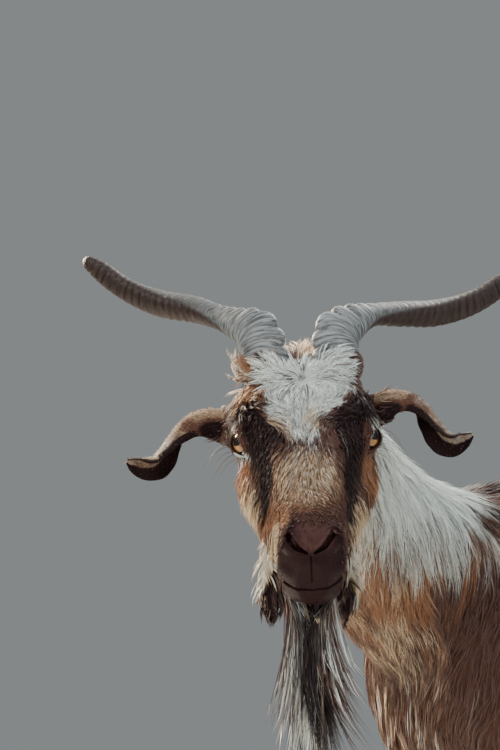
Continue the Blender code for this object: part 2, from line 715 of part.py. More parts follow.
def eyelid(side, upper):
    """A fold round the eye: a tapered tube on an arc just outside the ball."""
    out, fore, rise = eye_axes(side)
    centre = on_head(side * EYE_OUT, 0.0, EYE_UP)
    angle = np.linspace(0, math.pi, 7)
    height = 0.64 if upper else -0.60
    flat = np.cos(angle)[:, None] * fore * 0.93 + np.sin(angle)[:, None] * rise * height
    lift = np.sqrt(np.clip(1 - np.sum(flat**2, axis=1), 0.02, 1))[:, None]
    path = centre + (EYE_RADIUS + 0.0014) * (flat + lift * out)
    size = 0.0032 * (0.6 + 0.4 * np.sin(angle))
    return loft("lid", sweep(path, size, size * 1.1, 5, side_axis=out))


def eye_opening(side):
    """The space before the eye, which the lids frame."""
    out, fore, rise = eye_axes(side)
    centre = on_head(side * EYE_OUT, 0.0, EYE_UP) + 0.0150 * out
    return ellipsoid("opening", centre, (0.0120, 0.0150, 0.0108), [out, fore, rise])


def eyeball(name, side):
    """The ball of the eye, turned from rings about an axis that runs out sideways."""
    angle = np.linspace(0.12, math.pi - 0.12, EYE_ROWS)
    path = on_head(side * EYE_OUT, 0.0, EYE_UP) - EYE_RADIUS * np.cos(angle)[:, None] * side * LEFT
    size = EYE_RADIUS * np.sin(angle)
    return loft(name, sweep(path, size, size, EYE_SIDES, side_axis=BROW, power=2.0))


# Nostril stations, as seen from in front: out of the midline, above the eye line, half-height.
NOSTRIL = (
    (0.0030, -0.1090, 0.0013),
    (0.0080, -0.1060, 0.0020),
    (0.0140, -0.1012, 0.0030),
    (0.0225, -0.0900, 0.0034),
)
NOSTRIL_DEPTH = 0.0080


def nostril(side, tree):
    """A slit that slants up and out from the middle of the nose, cut as deep on every side."""
    path = []
    for left, crown, _ in NOSTRIL:
        path.append(np.array(tree.ray_cast(Vector(seen(side * left, crown, 0.30)), Vector(-LOOK))[0]))
    path = smooth_curve(range(4), path, np.linspace(0, 3, 7))
    half = smooth_curve(range(4), [s[2] for s in NOSTRIL], np.linspace(0, 3, 7))[:, 0]
    return loft("nostril", sweep(path, half, NOSTRIL_DEPTH, 8, side_axis=CROWN, power=2.0))


def mouth_cutter():
    """A thin V-shaped groove that follows the line of the lips round the muzzle."""
    angle = np.linspace(-1, 1, 15)
    left = 0.0345 * np.sin(np.clip(angle * 1.35, -np.pi / 2, np.pi / 2)) * np.abs(angle) ** 0.15
    snout = 0.1640 - 0.0740 * np.abs(angle) ** 2.2
    brow = -0.0425 + 0.0060 * np.abs(angle)
    path = on_head(left, snout, brow)
    along = unit(np.gradient(path, axis=0))
    outward = unit(np.cross(along, BROW))
    outward = outward * np.sign(np.sum(outward * (path - on_head(0, 0.08, -0.038)), axis=1))[:, None]
    lip = np.cross(along, outward)
    rim = path + 0.0130 * outward
    half = 0.0032 * lip
    return loft("mouth", np.stack([path - 0.0050 * outward, rim + half, rim - half], 1))


WATTLE_ROOT = {1: (0.040, -0.100, -0.032), -1: (-0.042, -0.100, -0.028)}
WATTLE_LENGTH = 0.100


def wattle(name, root):
    """A hanging, club-shaped tassel of skin at the throat."""
    share = np.linspace(0, 1, 9)
    path = root + np.outer(share * WATTLE_LENGTH - 0.010, (0, 0, -1))
    path = path + np.outer(np.sin(share * 2) * 0.004, LOOK)
    size = smooth_curve([0, 0.2, 0.6, 0.9, 1], [0.0068, 0.0080, 0.0122, 0.0105, 0.0030], share)[:, 0]
    return loft(name, sweep(path, size, size * 0.9, 10, side_axis=LEFT))


def surface_tree(obj):
    return BVHTree.FromPolygons(
        [v.co.copy() for v in obj.data.vertices], [tuple(p.vertices) for p in obj.data.polygons]
    )


def lock(path, normals, wide, thick):
    """A flat, tapered lock of hair along a path: a low ridge over a flat back, with a pointed tip."""
    path, normals = np.asarray(path), np.asarray(normals)
    along = unit(np.gradient(path, axis=0))
    side = unit(np.cross(along, normals))
    face = np.cross(side, along)
    count, sides = len(path) - 1, 3
    share = np.linspace(0, 1, len(path))[:-1]
    swell = smooth_curve([0, 0.3, 0.7, 1], [0.75, 1.0, 0.8, 0.35], share)[:, 0]
    angle = 2 * np.pi * (np.arange(sides) + 0.25) / sides
    ring = (
        path[:-1, None]
        + (1.15 * wide * swell[:, None] * np.cos(angle))[..., None] * side[:-1, None]
        + (1.15 * thick * swell[:, None] * np.sin(angle))[..., None] * face[:-1, None]
    )
    points = np.concatenate([ring.reshape(-1, 3), path[-1:]])
    faces = [
        (r * sides + c, r * sides + (c + 1) % sides, (r + 1) * sides + (c + 1) % sides, (r + 1) * sides + c)
        for r in range(count - 1)
        for c in range(sides)
    ]
    last = (count - 1) * sides
    faces += [(last + c, last + (c + 1) % sides, count * sides) for c in range(sides)]
    faces.append(tuple(range(sides))[::-1])
    obj = mesh_object("lock", points, faces)
    face_outwards(obj)
    return obj


LOCK_LIFT = (-0.010, 0.0040, 0.0078, 0.0085, 0.0050)  # height of a lock's points off the skin


def laid_lock(tree, root, flow, length, wide, thick, lift=1.0, wave=0.0):
    """A lock that lies along the skin: each step follows the flow and snaps to the surface."""
    place, normal, _, _ = tree.find_nearest(Vector(root))
    path, normals = [], []
    step = length / (len(LOCK_LIFT) - 1)
    bend = 0.0
    for i, height in enumerate(LOCK_LIFT):
        rise = height if height < 0 else height * lift
        path.append(np.array(place + normal * rise))
        normals.append(np.array(normal))
        way = Vector(unit(flow))
        way = (way - way.dot(normal) * normal).normalized()
        bend += wave
        way = (way + normal.cross(way) * bend).normalized()
        place, normal, _, _ = tree.find_nearest(place + way * step)
    return lock(path, normals, wide, thick)


def hanging_lock(start, down, length, wide, thick, bend_way, bend, facing):
    """A lock that leaves the skin and hangs free, bending towards bend_way at its end."""
    share = np.linspace(0, 1, 6)[:, None]
    path = np.asarray(start) + share * length * unit(down) + share**2 * bend * unit(bend_way)
    return lock(path, np.broadcast_to(facing, path.shape), wide, thick)


BEARD_ROOT = (0.000, 0.112, -0.052)  # on the head: left of the midline, down the face, out of it
BEARD_LENGTH, BEARD_BEND = 0.205, 0.010
BEARD_CORE = 0.45  # the share of the length that the solid middle of the beard takes


def beard_core():
    """The solid middle of the beard: a tapered form from inside the chin, bending to the left."""
    share = np.linspace(0, 1, 8)[:, None] * BEARD_CORE
    path = on_head(*BEARD_ROOT) - share * BEARD_LENGTH * CROWN + share**2 * BEARD_BEND * LEFT
    taper = (1 - share[:, 0]) ** 0.7 * np.linspace(1, 0.55, 8)
    return loft("beard_core", sweep(path, 0.0290 * taper, 0.0240 * taper, 10, side_axis=LEFT))


def beard_locks(rng):
    """The beard: locks rooted under the chin in rows, which hang down, draw in and part at the ends."""
    made = []
    rows = ((0.146, 4, 0.015), (0.126, 5, 0.022), (0.104, 4, 0.023), (0.084, 3, 0.018))
    for row, (snout, count, half) in enumerate(rows):
        for left in np.linspace(-half, half, count):
            start = on_head(left, snout, -0.052)
            draw_in = (0.020 - 0.014 * row) * LOOK - 0.05 * left * LEFT
            down = -CROWN * 0.21 + draw_in
            length = BEARD_LENGTH - 0.012 * row - 1.2 * abs(left) + rng.uniform(-0.012, 0.012)
            curl = BEARD_BEND + 0.45 * left + rng.uniform(-0.008, 0.008)
            made.append(hanging_lock(start, down, length, 0.0085, 0.0052, LEFT, curl, LOOK))
    return made


def neck_point(share, angle):
    """A place outside the neck: share along it from chest to head, angle round it from the crest."""
    table = even_rows(NECK, 31)
    row = int(round(share * 30))
    along = unit(table[min(row + 1, 30), :3] - table[row - 1, :3])
    side = unit(np.cross(along, (0, 0, 1)))
    crest = np.cross(side, along)
    return table[row, :3] + 0.1 * (math.cos(angle) * crest - math.sin(angle) * side), along


def neck_locks(tree, rng):
    """Long hair of the neck, in rows from the crest down both sides, lying back and down."""
    made = []
    for side in (-1, 1):
        for row, share in enumerate(np.linspace(0.40, 0.84, 4)):
            for degrees in (8, 40, 72, 104):
                turn = math.radians(degrees + 12 * (row % 2) + rng.uniform(-5, 5)) * side
                place, along = neck_point(share, turn)
                flow = -along - (0.30 + 0.006 * degrees) * np.array([0, 0, 1.0])
                length, wave = rng.uniform(0.100, 0.114), rng.uniform(-0.1, 0.1)
                made.append(laid_lock(tree, place, flow, length, 0.0175, 0.0062, 1.2, wave))
    return made


def ridge_locks(tree, rng):
    """The crest of longer hair along the spine, from the withers to the croup."""
    made = []
    for row, y in enumerate(np.linspace(-0.170, 0.300, 8)):
        for side in (-1, 1):
            root = (side * (0.012 + 0.005 * (row % 2)), y + 0.012 * side, 0.90)
            length = rng.uniform(0.082, 0.094)
            made.append(laid_lock(tree, root, (side * 0.40, 1.0, 0.1), length, 0.0140, 0.0058, 1.3))
    return made


def fringe_locks(tree, rng):
    """Longer hair of the breast, and the fringes of the belly and the back of the thighs."""
    made = []
    for row, z in enumerate((0.630, 0.565, 0.500)):
        for x in np.linspace(-0.060, 0.060, 4) + 0.016 * (row % 2):
            length = rng.uniform(0.084, 0.096)
            made.append(laid_lock(tree, (x, -0.46, z), (0.3 * x, 0.15, -1.0), length, 0.0165, 0.0060, 1.2))
    for side in (-1, 1):
        for y in np.linspace(-0.08, 0.16, 5):
            root, flow = (side * 0.085, y, 0.30), (side * 0.15, 0.75, -0.5)
            made.append(laid_lock(tree, root, flow, 0.074, 0.0145, 0.0060, 1.3))
        for z in (0.590, 0.520):
            for x in (0.055, 0.100):
                root, flow = (side * x, 0.50, z), (side * 0.1, 0.1, -1.0)
                made.append(laid_lock(tree, root, flow, 0.068, 0.0145, 0.0058, 1.2))
    return made


def tail_locks(tree, rng):
    table = even_rows(TAIL, 20)
    made = []
    for side in (-1, 1):
        for share in np.linspace(0.30, 0.92, 5):
            root = table[int(share * 19), :3] + (side * 0.03, 0, 0)
            length = rng.uniform(0.052, 0.062)
            made.append(laid_lock(tree, root, (side * 0.50, 1.0, 0.15), length, 0.0105, 0.0046, 1.3))
    return made


def head_locks(tree, rng):
    """The forelock that spreads from the crown, and the fringe along the jaw."""
    made = []
    for row, (snout, count) in enumerate(((-0.046, 4), (-0.022, 4), (0.004, 3))):
        for step in range(count):
            left = (step / (count - 1) - 0.5) * (0.060 - 0.013 * row)
            flow = SNOUT + LEFT * left * 34 - BROW * 0.2
            made.append(laid_lock(tree, on_head(left, snout, 0.09), flow, 0.054, 0.0105, 0.0042, 0.85))
    for side in (-1, 1):
        for snout in (-0.052, -0.024, 0.004, 0.032, 0.060):
            root = on_head(side * 0.055, snout, -0.088)
            flow = -CROWN - 0.3 * LOOK + side * 0.1 * LEFT
            length = rng.uniform(0.048, 0.056)
            made.append(laid_lock(tree, root, flow, length, 0.0110, 0.0048, 1.3))
    return made


# Where the head leaves the neck, the neck the torso and the tail the rump.
NAPE = EYE_LINE - 0.106 * LOOK - 0.020 * CROWN + 0.004 * LEFT
NAPE_NORMAL = np.array([0.33, -0.82, 0.42])
NECK_BASE = np.array([0.010, -0.372, 0.665])
NECK_BASE_NORMAL = np.array([0.10, -0.80, 0.55])
TAIL_BASE = np.array([0.0, 0.446, 0.709])
TAIL_NORMAL = np.array([0.0, 0.92, 0.38])


def parted(whole, name, cutter_inside, cutter_outside):
    """Takes from the whole what lies in one cutter, leaving out the slightly larger one."""
    piece = cut(copy_of(whole, name), [cutter_inside], keep="INTERSECT")
    cut(whole, [cutter_outside])
    return largest_surface(piece)


def split_off(whole, name, seed):
    """Moves the closed surface nearest to the seed out of the whole into an object of its own."""
    mesh = bmesh.new()
    mesh.from_mesh(whole.data)
    best, best_distance = None, 1e9
    for island in islands(mesh):
        if sum(f.calc_area() for f in island) < 0.004:
            continue
        centre = np.mean([f.calc_center_median() for f in island], axis=0)
        distance = np.linalg.norm(centre - seed)
        if distance < best_distance:
            best, best_distance = island, distance
    keep = set(best)
    bmesh.ops.delete(mesh, geom=[f for f in mesh.faces if f not in keep], context="FACES")
    data = bpy.data.meshes.new(name)
    mesh.to_mesh(data)
    mesh.free()
    obj = bpy.data.objects.new(name, data)
    bpy.context.scene.collection.objects.link(obj)
    return obj


def side_name(side):
    return "left" if side > 0 else "right"


def build_goat():
    rng = np.random.default_rng(SEED)
    body_forms = [torso_form(), swept_form("neck_form", NECK, 26, 20)]
    body_forms.append(swept_form("tail_form", TAIL, 14, 10))
    body_forms.append(ellipsoid("withers", (0, -0.19, 0.725), (0.052, 0.12, 0.058)))
    for side in (-1, 1):
        body_forms.append(ellipsoid("shoulder", (side * 0.088, -0.225, 0.600), (0.046, 0.085, 0.150)))
        body_forms.append(ellipsoid("hip", (side * 0.092, 0.268, 0.712), (0.034, 0.045, 0.036)))
        body_forms.append(ellipsoid("haunch", (side * 0.096, 0.325, 0.600), (0.056, 0.098, 0.120)))
    for kind in LEGS:
        for side in (-1, 1):
            body_forms += leg_form(kind, side)
    body = fused("body", body_forms, BODY_VOXEL, BODY_TRIANGLES, 6)
    head = fused("head", [head_form(), *head_lumps()], HEAD_VOXEL, HEAD_TRIANGLES, 4)

    body_tree, head_tree = surface_tree(body), surface_tree(head)
    locks = neck_locks(body_tree, rng) + ridge_locks(body_tree, rng) + fringe_locks(body_tree, rng)
    locks += tail_locks(body_tree, rng) + head_locks(head_tree, rng) + beard_locks(rng)
    locks.append(beard_core())
    lids = [eyelid(side, upper) for side in (-1, 1) for upper in (True, False)]
    wattle_roots = {}
    for side, place in WATTLE_ROOT.items():
        near = head_tree.find_nearest(Vector(seen(*place)))[0]
        wattle_roots[side] = np.array(near)
    whole = largest_surface(union("whole", [body, head, *lids, *locks]))

    nodes = {}
    tables = {(k, s): leg_table(k, s, LEG_ROWS) for k in LEGS for s in (-1, 1)}
    sockets = [mouth_cutter()]
    for side in (-1, 1):
        sockets += [eye_opening(side), nostril(side, head_tree)]
        sockets += [clearance(make("socket", side)) for make in (eyeball, horn, ear)]
        sockets.append(clearance(wattle("socket", wattle_roots[side])))
    sockets += [coronet_cutter(t) for t in tables.values()]
    cut(whole, sockets)
    whole = largest_surface(whole)
    for (kind, side), table in tables.items():
        name = f"leg_{kind}_{side_name(side)}"
        nodes[name] = parted(whole, name, leg_region(kind, side, 0.0), leg_region(kind, side, GAP))
    cut(
        whole,
        [
            slab("nape", NAPE, NAPE_NORMAL, 0.125),
            slab("neck_base", NECK_BASE, NECK_BASE_NORMAL, 0.200),
            slab("tail_base", TAIL_BASE, TAIL_NORMAL, 0.060),
        ],
    )
    seeds = {
        "head": EYE_LINE,
        "neck": np.array(NECK[3][:3]),
        "torso": np.array([0.0, 0.05, 0.57]),
        "tail": np.array([0.0, 0.50, 0.74]),
    }
    for name, seed in seeds.items():
        nodes[name] = split_off(whole, name, seed)
    bpy.data.objects.remove(whole, do_unlink=True)

    for side in (-1, 1):
        tag = side_name(side)
        nodes["horn_" + tag] = horn("horn_" + tag, side)
        nodes["ear_" + tag] = ear("ear_" + tag, side)
        nodes["eye_" + tag] = eyeball("eye_" + tag, side)
        nodes["wattle_" + tag] = wattle("wattle_" + tag, wattle_roots[side])
    for (kind, side), table in tables.items():
        for out in (-1, 1):
            place = "outer" if out == side else "inner"
            name = f"hoof_{kind}_{side_name(side)}_{place}"
            nodes[name] = claw(name, foot_centre(table), out)
    return nodes


COLOURS = {
    "horn": ((0.30, 0.28, 0.26), 0.55),
    "eye": ((0.55, 0.30, 0.06), 0.15),
    "hoof": ((0.09, 0.07, 0.055), 0.50),
    "ear": ((0.40, 0.24, 0.16), 0.85),
    "head": ((0.42, 0.26, 0.17), 0.85),
    "neck": ((0.66, 0.60, 0.52), 0.90),
    "wattle": ((0.30, 0.20, 0.15), 0.90),
    "torso": ((0.36, 0.20, 0.13), 0.90),
    "tail": ((0.62, 0.56, 0.48), 0.90),
    "leg": ((0.33, 0.20, 0.13), 0.85),
}


def finish_nodes(nodes):
    """Sets each node's material and shading, and moves the goat so that its box stands on the origin."""
    made = {kind: material(kind + "_finish", *look) for kind, look in COLOURS.items()}
    low, high = np.full(3, 1e9), np.full(3, -1e9)
    for obj in nodes.values():
        points = np.array([v.co for v in obj.data.vertices])
        low, high = np.minimum(low, points.min(0)), np.maximum(high, points.max(0))
    shift = Matrix.Translation((-(low[0] + high[0]) / 2, -(low[1] + high[1]) / 2, 0.0))
    for name, obj in nodes.items():
        obj.name = name
        obj.data.transform(shift)
        obj.data.materials.clear()
        obj.data.materials.append(made[name.split("_")[0]])
        obj.data.shade_smooth()
        obj.data.set_sharp_from_angle(angle=math.radians(40))


clear_scene()
finish_nodes(build_goat())
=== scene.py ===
# %% [markdown]
# A billy goat with wide twisted horns stands with its head turned to its left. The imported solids
# are its fixed frame: they give the size, the pose and the places of the eyes. Everything below
# is worked out from a few tables of sizes, as arrays, and then put into meshes.

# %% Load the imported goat
import json
import math

import bpy
import numpy as np
from mathutils import Matrix, Vector

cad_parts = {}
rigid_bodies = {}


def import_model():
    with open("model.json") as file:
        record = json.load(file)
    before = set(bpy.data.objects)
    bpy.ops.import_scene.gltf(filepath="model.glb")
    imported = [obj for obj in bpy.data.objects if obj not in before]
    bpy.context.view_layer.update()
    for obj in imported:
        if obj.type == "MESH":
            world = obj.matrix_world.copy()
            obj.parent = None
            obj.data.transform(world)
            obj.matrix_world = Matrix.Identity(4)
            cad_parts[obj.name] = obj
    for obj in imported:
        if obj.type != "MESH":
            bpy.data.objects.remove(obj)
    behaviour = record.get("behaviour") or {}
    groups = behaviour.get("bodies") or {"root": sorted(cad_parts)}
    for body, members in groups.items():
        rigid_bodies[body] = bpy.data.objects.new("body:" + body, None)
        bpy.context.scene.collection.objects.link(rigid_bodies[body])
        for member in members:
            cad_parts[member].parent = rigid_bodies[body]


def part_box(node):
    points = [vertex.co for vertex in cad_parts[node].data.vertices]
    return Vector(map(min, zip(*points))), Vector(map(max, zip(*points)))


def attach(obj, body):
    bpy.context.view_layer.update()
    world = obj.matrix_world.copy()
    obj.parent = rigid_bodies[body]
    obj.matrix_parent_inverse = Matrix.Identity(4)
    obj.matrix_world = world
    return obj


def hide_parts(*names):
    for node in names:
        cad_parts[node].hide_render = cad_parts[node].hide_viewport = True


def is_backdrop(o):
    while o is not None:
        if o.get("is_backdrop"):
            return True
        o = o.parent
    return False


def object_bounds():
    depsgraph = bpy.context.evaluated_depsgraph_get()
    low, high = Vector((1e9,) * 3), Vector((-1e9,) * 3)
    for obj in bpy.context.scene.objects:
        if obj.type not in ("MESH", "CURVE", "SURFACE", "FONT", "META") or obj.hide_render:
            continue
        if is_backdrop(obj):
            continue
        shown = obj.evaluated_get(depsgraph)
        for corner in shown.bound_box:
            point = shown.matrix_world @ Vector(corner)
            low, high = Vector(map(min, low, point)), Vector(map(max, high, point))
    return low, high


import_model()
cad_box = [list(map(float, corner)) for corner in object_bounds()]
SIDES = {1: "left", -1: "right"}
print("solids' box", cad_box)

# %% [markdown]
# The head has its own axes, because the face is worked out down the nose and across it, not along
# the room's axes. The middle of the two eyes fixes where these axes start, so the head lands
# exactly on the solids, and the same step tells how far the station tables below must be moved.

# %% The head's axes, from the eyes
HEAD_TURN, FACE_SLOPE, HEAD_ROLL = np.radians([50.0, 47.0, 2.5])
EYE_OUT, EYE_UP, EYE_RADIUS = 0.0572, -0.0030, 0.0158
EYE_LINE_IN_TABLES = np.array([0.157, -0.674, 0.822])
LOOK = np.array([math.sin(HEAD_TURN), -math.cos(HEAD_TURN), 0.0])
ROLL = np.array(Matrix.Rotation(HEAD_ROLL, 3, Vector(LOOK)))
RIGHT_OF_VIEW = np.array([math.cos(HEAD_TURN), math.sin(HEAD_TURN), 0.0])
LEFT = ROLL @ RIGHT_OF_VIEW
CROWN = ROLL @ np.array([0.0, 0.0, 1.0])
SNOUT = math.sin(FACE_SLOPE) * LOOK - math.cos(FACE_SLOPE) * CROWN
BROW = math.cos(FACE_SLOPE) * LOOK + math.sin(FACE_SLOPE) * CROWN
DOWN = np.array([0.0, 0.0, -1.0])
BACK = np.array([0.0, 1.0, 0.0])

eye_boxes = [np.array(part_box(f"eye_{name}")).mean(axis=0) for name in SIDES.values()]
EYE_LINE = np.mean(eye_boxes, axis=0) - EYE_UP * BROW
SHIFT = (EYE_LINE - EYE_LINE_IN_TABLES) * (1, 1, 0)
EYE_LINE = EYE_LINE_IN_TABLES + SHIFT
print("eye line", EYE_LINE.round(4), "shift", SHIFT.round(4))


def on_head(left, snout, brow):
    """A place in the head: left of the midline, down the face from the eyes, out of the face's plane."""
    left, snout, brow = np.broadcast_arrays(*(np.asarray(v, float)[..., None] for v in (left, snout, brow)))
    return EYE_LINE + left * LEFT + snout * SNOUT + brow * BROW


def seen(left, crown, look):
    """A place by the head, as seen from in front: left of the midline, above and before the eyes."""
    left, crown, look = np.broadcast_arrays(*(np.asarray(v, float)[..., None] for v in (left, crown, look)))
    return EYE_LINE + left * LEFT + crown * CROWN + look * LOOK


# %% [markdown]
# Every form of the body is a table of stations: where the middle of a section lies and how wide
# and deep it is there. A smooth curve through the stations gives as many sections as a surface
# needs. A cubic curve that takes its slopes from the neighbouring stations keeps the flesh round.

# %% Curves and sections
def unit(vectors):
    """Each vector divided by its own length."""
    vectors = np.asarray(vectors, float)
    return vectors / np.maximum(np.linalg.norm(vectors, axis=-1, keepdims=True), 1e-12)


def smooth_curve(knots, values, at):
    """Cubic pieces through the values at the knots, each leaving with its neighbours' mean slope."""
    knots = np.asarray(knots, float)
    values = np.asarray(values, float).reshape(len(knots), -1)
    slope = np.gradient(values, knots, axis=0)
    piece = np.clip(np.searchsorted(knots, at, side="right") - 1, 0, len(knots) - 2)
    step = (knots[piece + 1] - knots[piece])[:, None]
    t = (at - knots[piece])[:, None] / step
    return (
        (2 * t**3 - 3 * t**2 + 1) * values[piece]
        + (t**3 - 2 * t**2 + t) * step * slope[piece]
        + (3 * t**2 - 2 * t**3) * values[piece + 1]
        + (t**3 - t**2) * step * slope[piece + 1]
    )


def even_rows(table, count):
    """The table's rows, smoothed and evenly spaced along the path in its first three columns."""
    table = np.asarray(table, float)
    run = np.concatenate([[0], np.cumsum(np.linalg.norm(np.diff(table[:, :3], axis=0), axis=1))])
    return smooth_curve(run, table, np.linspace(0, run[-1], count))


def ring_angles(count):
    """Angles at equal steps round a circle."""
    return 2 * np.pi * np.arange(count) / count


def sections(path, wide, deep, sides, side_axis=(1.0, 0.0, 0.0), power=2.2):
    """Rings across a path: |x / wide| ** power + |y / deep| ** power = 1, with x along side_axis."""
    path = np.asarray(path, float)
    along = unit(np.gradient(path, axis=0))
    side = np.broadcast_to(np.asarray(side_axis, float), path.shape)
    side = unit(side - np.sum(side * along, axis=1, keepdims=True) * along)
    fore = np.cross(along, side)
    angle = ring_angles(sides)
    across = np.sign(np.cos(angle)) * np.abs(np.cos(angle)) ** (2 / power)
    front = np.sign(np.sin(angle)) * np.abs(np.sin(angle)) ** (2 / power)
    wide = np.broadcast_to(np.asarray(wide, float), (len(path),))[:, None, None]
    deep = np.broadcast_to(np.asarray(deep, float), (len(path),))[:, None, None]
    return path[:, None] + wide * across[:, None] * side[:, None] + deep * front[:, None] * fore[:, None]


# %% [markdown]
# Rings of points become a closed tube: quads join each ring to the next, and each end is a fan
# round a middle point, so that no seam and no pole stays open. The arrays go into a mesh in one
# go with foreach_set, which is far quicker than adding faces one by one.

# %% From rings to a mesh
def tube(rings):
    """Closed tube: point (row, column) joins (row + 1, column), and both ends close on their middle."""
    rings = np.asarray(rings, float)
    count, sides = rings.shape[:2]
    points = np.concatenate([rings.reshape(-1, 3), rings[[0, -1]].mean(axis=1)])
    row, col = np.meshgrid(np.arange(count - 1), np.arange(sides), indexing="ij")
    here, after = row * sides + col, row * sides + (col + 1) % sides
    quads = np.stack([here, after, after + sides, here + sides], -1).reshape(-1, 4)
    edge, last = np.arange(sides), (count - 1) * sides
    near = np.stack([(edge + 1) % sides, edge, np.full(sides, count * sides)], -1)
    far = np.stack([last + edge, last + (edge + 1) % sides, np.full(sides, count * sides + 1)], -1)
    return points, [quads, np.concatenate([near, far])]


def volume(points, faces):
    """Six times the signed volume: the sum of a . (b x c) over the fan triangles of every face."""
    total = 0.0
    for group in faces:
        for k in range(1, group.shape[1] - 1):
            a, b, c = points[group[:, 0]], points[group[:, k]], points[group[:, k + 1]]
            total += np.sum(a * np.cross(b, c))
    return total


def facing_out(points, faces):
    """The same closed surface with every face pointing outwards."""
    centred = points - points.mean(axis=0)
    return (points, faces) if volume(centred, faces) > 0 else (points, [g[:, ::-1] for g in faces])


def mesh_object(name, points, faces):
    """A new object with its place in its mesh, from arrays of corners of equal count each."""
    mesh = bpy.data.meshes.new(name)
    corners = np.concatenate([group.ravel() for group in faces]).astype(np.int32)
    sizes = np.concatenate([np.full(len(group), group.shape[1]) for group in faces])
    mesh.vertices.add(len(points))
    mesh.vertices.foreach_set("co", np.asarray(points, np.float32).ravel())
    mesh.loops.add(len(corners))
    mesh.loops.foreach_set("vertex_index", corners)
    mesh.polygons.add(len(sizes))
    mesh.polygons.foreach_set("loop_start", (np.cumsum(sizes) - sizes).astype(np.int32))
    mesh.update(calc_edges=True)
    obj = bpy.data.objects.new(name, mesh)
    bpy.context.scene.collection.objects.link(obj)
    return obj


def shaded_smooth(obj):
    """The object with every face marked smooth."""
    obj.data.polygons.foreach_set("use_smooth", np.ones(len(obj.data.polygons), bool))
    return obj


def gathered(forms):
    """Several (points, faces) forms as one, without joining them."""
    points, faces, count = [], [], 0
    for form_points, form_faces in forms:
        points.append(form_points)
        faces += [group + count for group in form_faces]
        count += len(form_points)
    return np.concatenate(points), faces


def ball(centre, radii, axes=None, rows=18, sides=28):
    """A sphere stretched to three radii: latitude rings from pole to pole along the last axis."""
    axes = np.eye(3) if axes is None else np.asarray(axes, float)
    polar = np.linspace(0.06, np.pi - 0.06, rows)[:, None]
    turn = ring_angles(sides)
    ring = np.sin(polar)
    shape = np.stack([ring * np.cos(turn), ring * np.sin(turn), np.cos(polar) + 0 * turn], -1)
    return tube(np.asarray(centre) + (shape * np.asarray(radii)) @ axes)


# %% [markdown]
# The trunk, neck, tail and legs. The numbers are those of the solids, in metres, so the skin
# keeps their proportions: withers at 0.785 m, a deep chest and a paunch as a grown buck has.

# %% Stations of the body
# Trunk: y, top, bottom, half-width, height of the widest place, power above and below.
TORSO = (
    (-0.400, 0.630, 0.500, 0.052, 0.560, 2.0, 2.0),
    (-0.385, 0.680, 0.455, 0.082, 0.560, 2.0, 2.0),
    (-0.340, 0.735, 0.412, 0.108, 0.550, 2.0, 2.1),
    (-0.270, 0.772, 0.390, 0.118, 0.545, 1.9, 2.1),
    (-0.190, 0.785, 0.382, 0.126, 0.540, 1.7, 2.2),
    (-0.090, 0.772, 0.382, 0.142, 0.545, 1.9, 2.3),
    (0.030, 0.755, 0.388, 0.162, 0.550, 2.2, 2.3),
    (0.150, 0.754, 0.402, 0.166, 0.560, 2.3, 2.3),
    (0.250, 0.766, 0.432, 0.150, 0.590, 2.2, 2.3),
    (0.325, 0.752, 0.465, 0.128, 0.610, 2.0, 2.2),
    (0.385, 0.722, 0.510, 0.102, 0.620, 2.0, 2.1),
    (0.428, 0.686, 0.555, 0.070, 0.620, 2.0, 2.0),
    (0.445, 0.660, 0.585, 0.040, 0.620, 2.0, 2.0),
)
# Neck, tail and legs: x, y, z, half-width, half-depth.
NECK = (
    (0.000, -0.170, 0.600, 0.075, 0.150),
    (0.002, -0.290, 0.630, 0.084, 0.135),
    (0.018, -0.410, 0.680, 0.078, 0.108),
    (0.050, -0.515, 0.742, 0.067, 0.088),
    (0.080, -0.582, 0.796, 0.060, 0.078),
    (0.104, -0.628, 0.842, 0.050, 0.060),
)
TAIL = (
    (0.000, 0.370, 0.680, 0.026, 0.022),
    (0.000, 0.425, 0.700, 0.026, 0.020),
    (0.000, 0.475, 0.722, 0.024, 0.017),
    (0.000, 0.515, 0.752, 0.019, 0.013),
    (0.000, 0.535, 0.790, 0.009, 0.007),
)
FRONT_LEG = (
    (0.052, -0.195, 0.700, 0.026, 0.055),
    (0.076, -0.230, 0.620, 0.042, 0.080),
    (0.090, -0.270, 0.540, 0.048, 0.085),
    (0.095, -0.250, 0.470, 0.046, 0.074),
    (0.093, -0.225, 0.425, 0.041, 0.062),
    (0.091, -0.226, 0.370, 0.033, 0.044),
    (0.089, -0.232, 0.310, 0.026, 0.031),
    (0.088, -0.237, 0.262, 0.028, 0.030),
    (0.087, -0.237, 0.228, 0.023, 0.026),
    (0.086, -0.235, 0.180, 0.0185, 0.021),
    (0.085, -0.234, 0.142, 0.0190, 0.022),
    (0.084, -0.237, 0.113, 0.0245, 0.027),
    (0.083, -0.249, 0.083, 0.0235, 0.025),
    (0.082, -0.262, 0.056, 0.0285, 0.032),
    (0.082, -0.268, 0.040, 0.0280, 0.031),
)
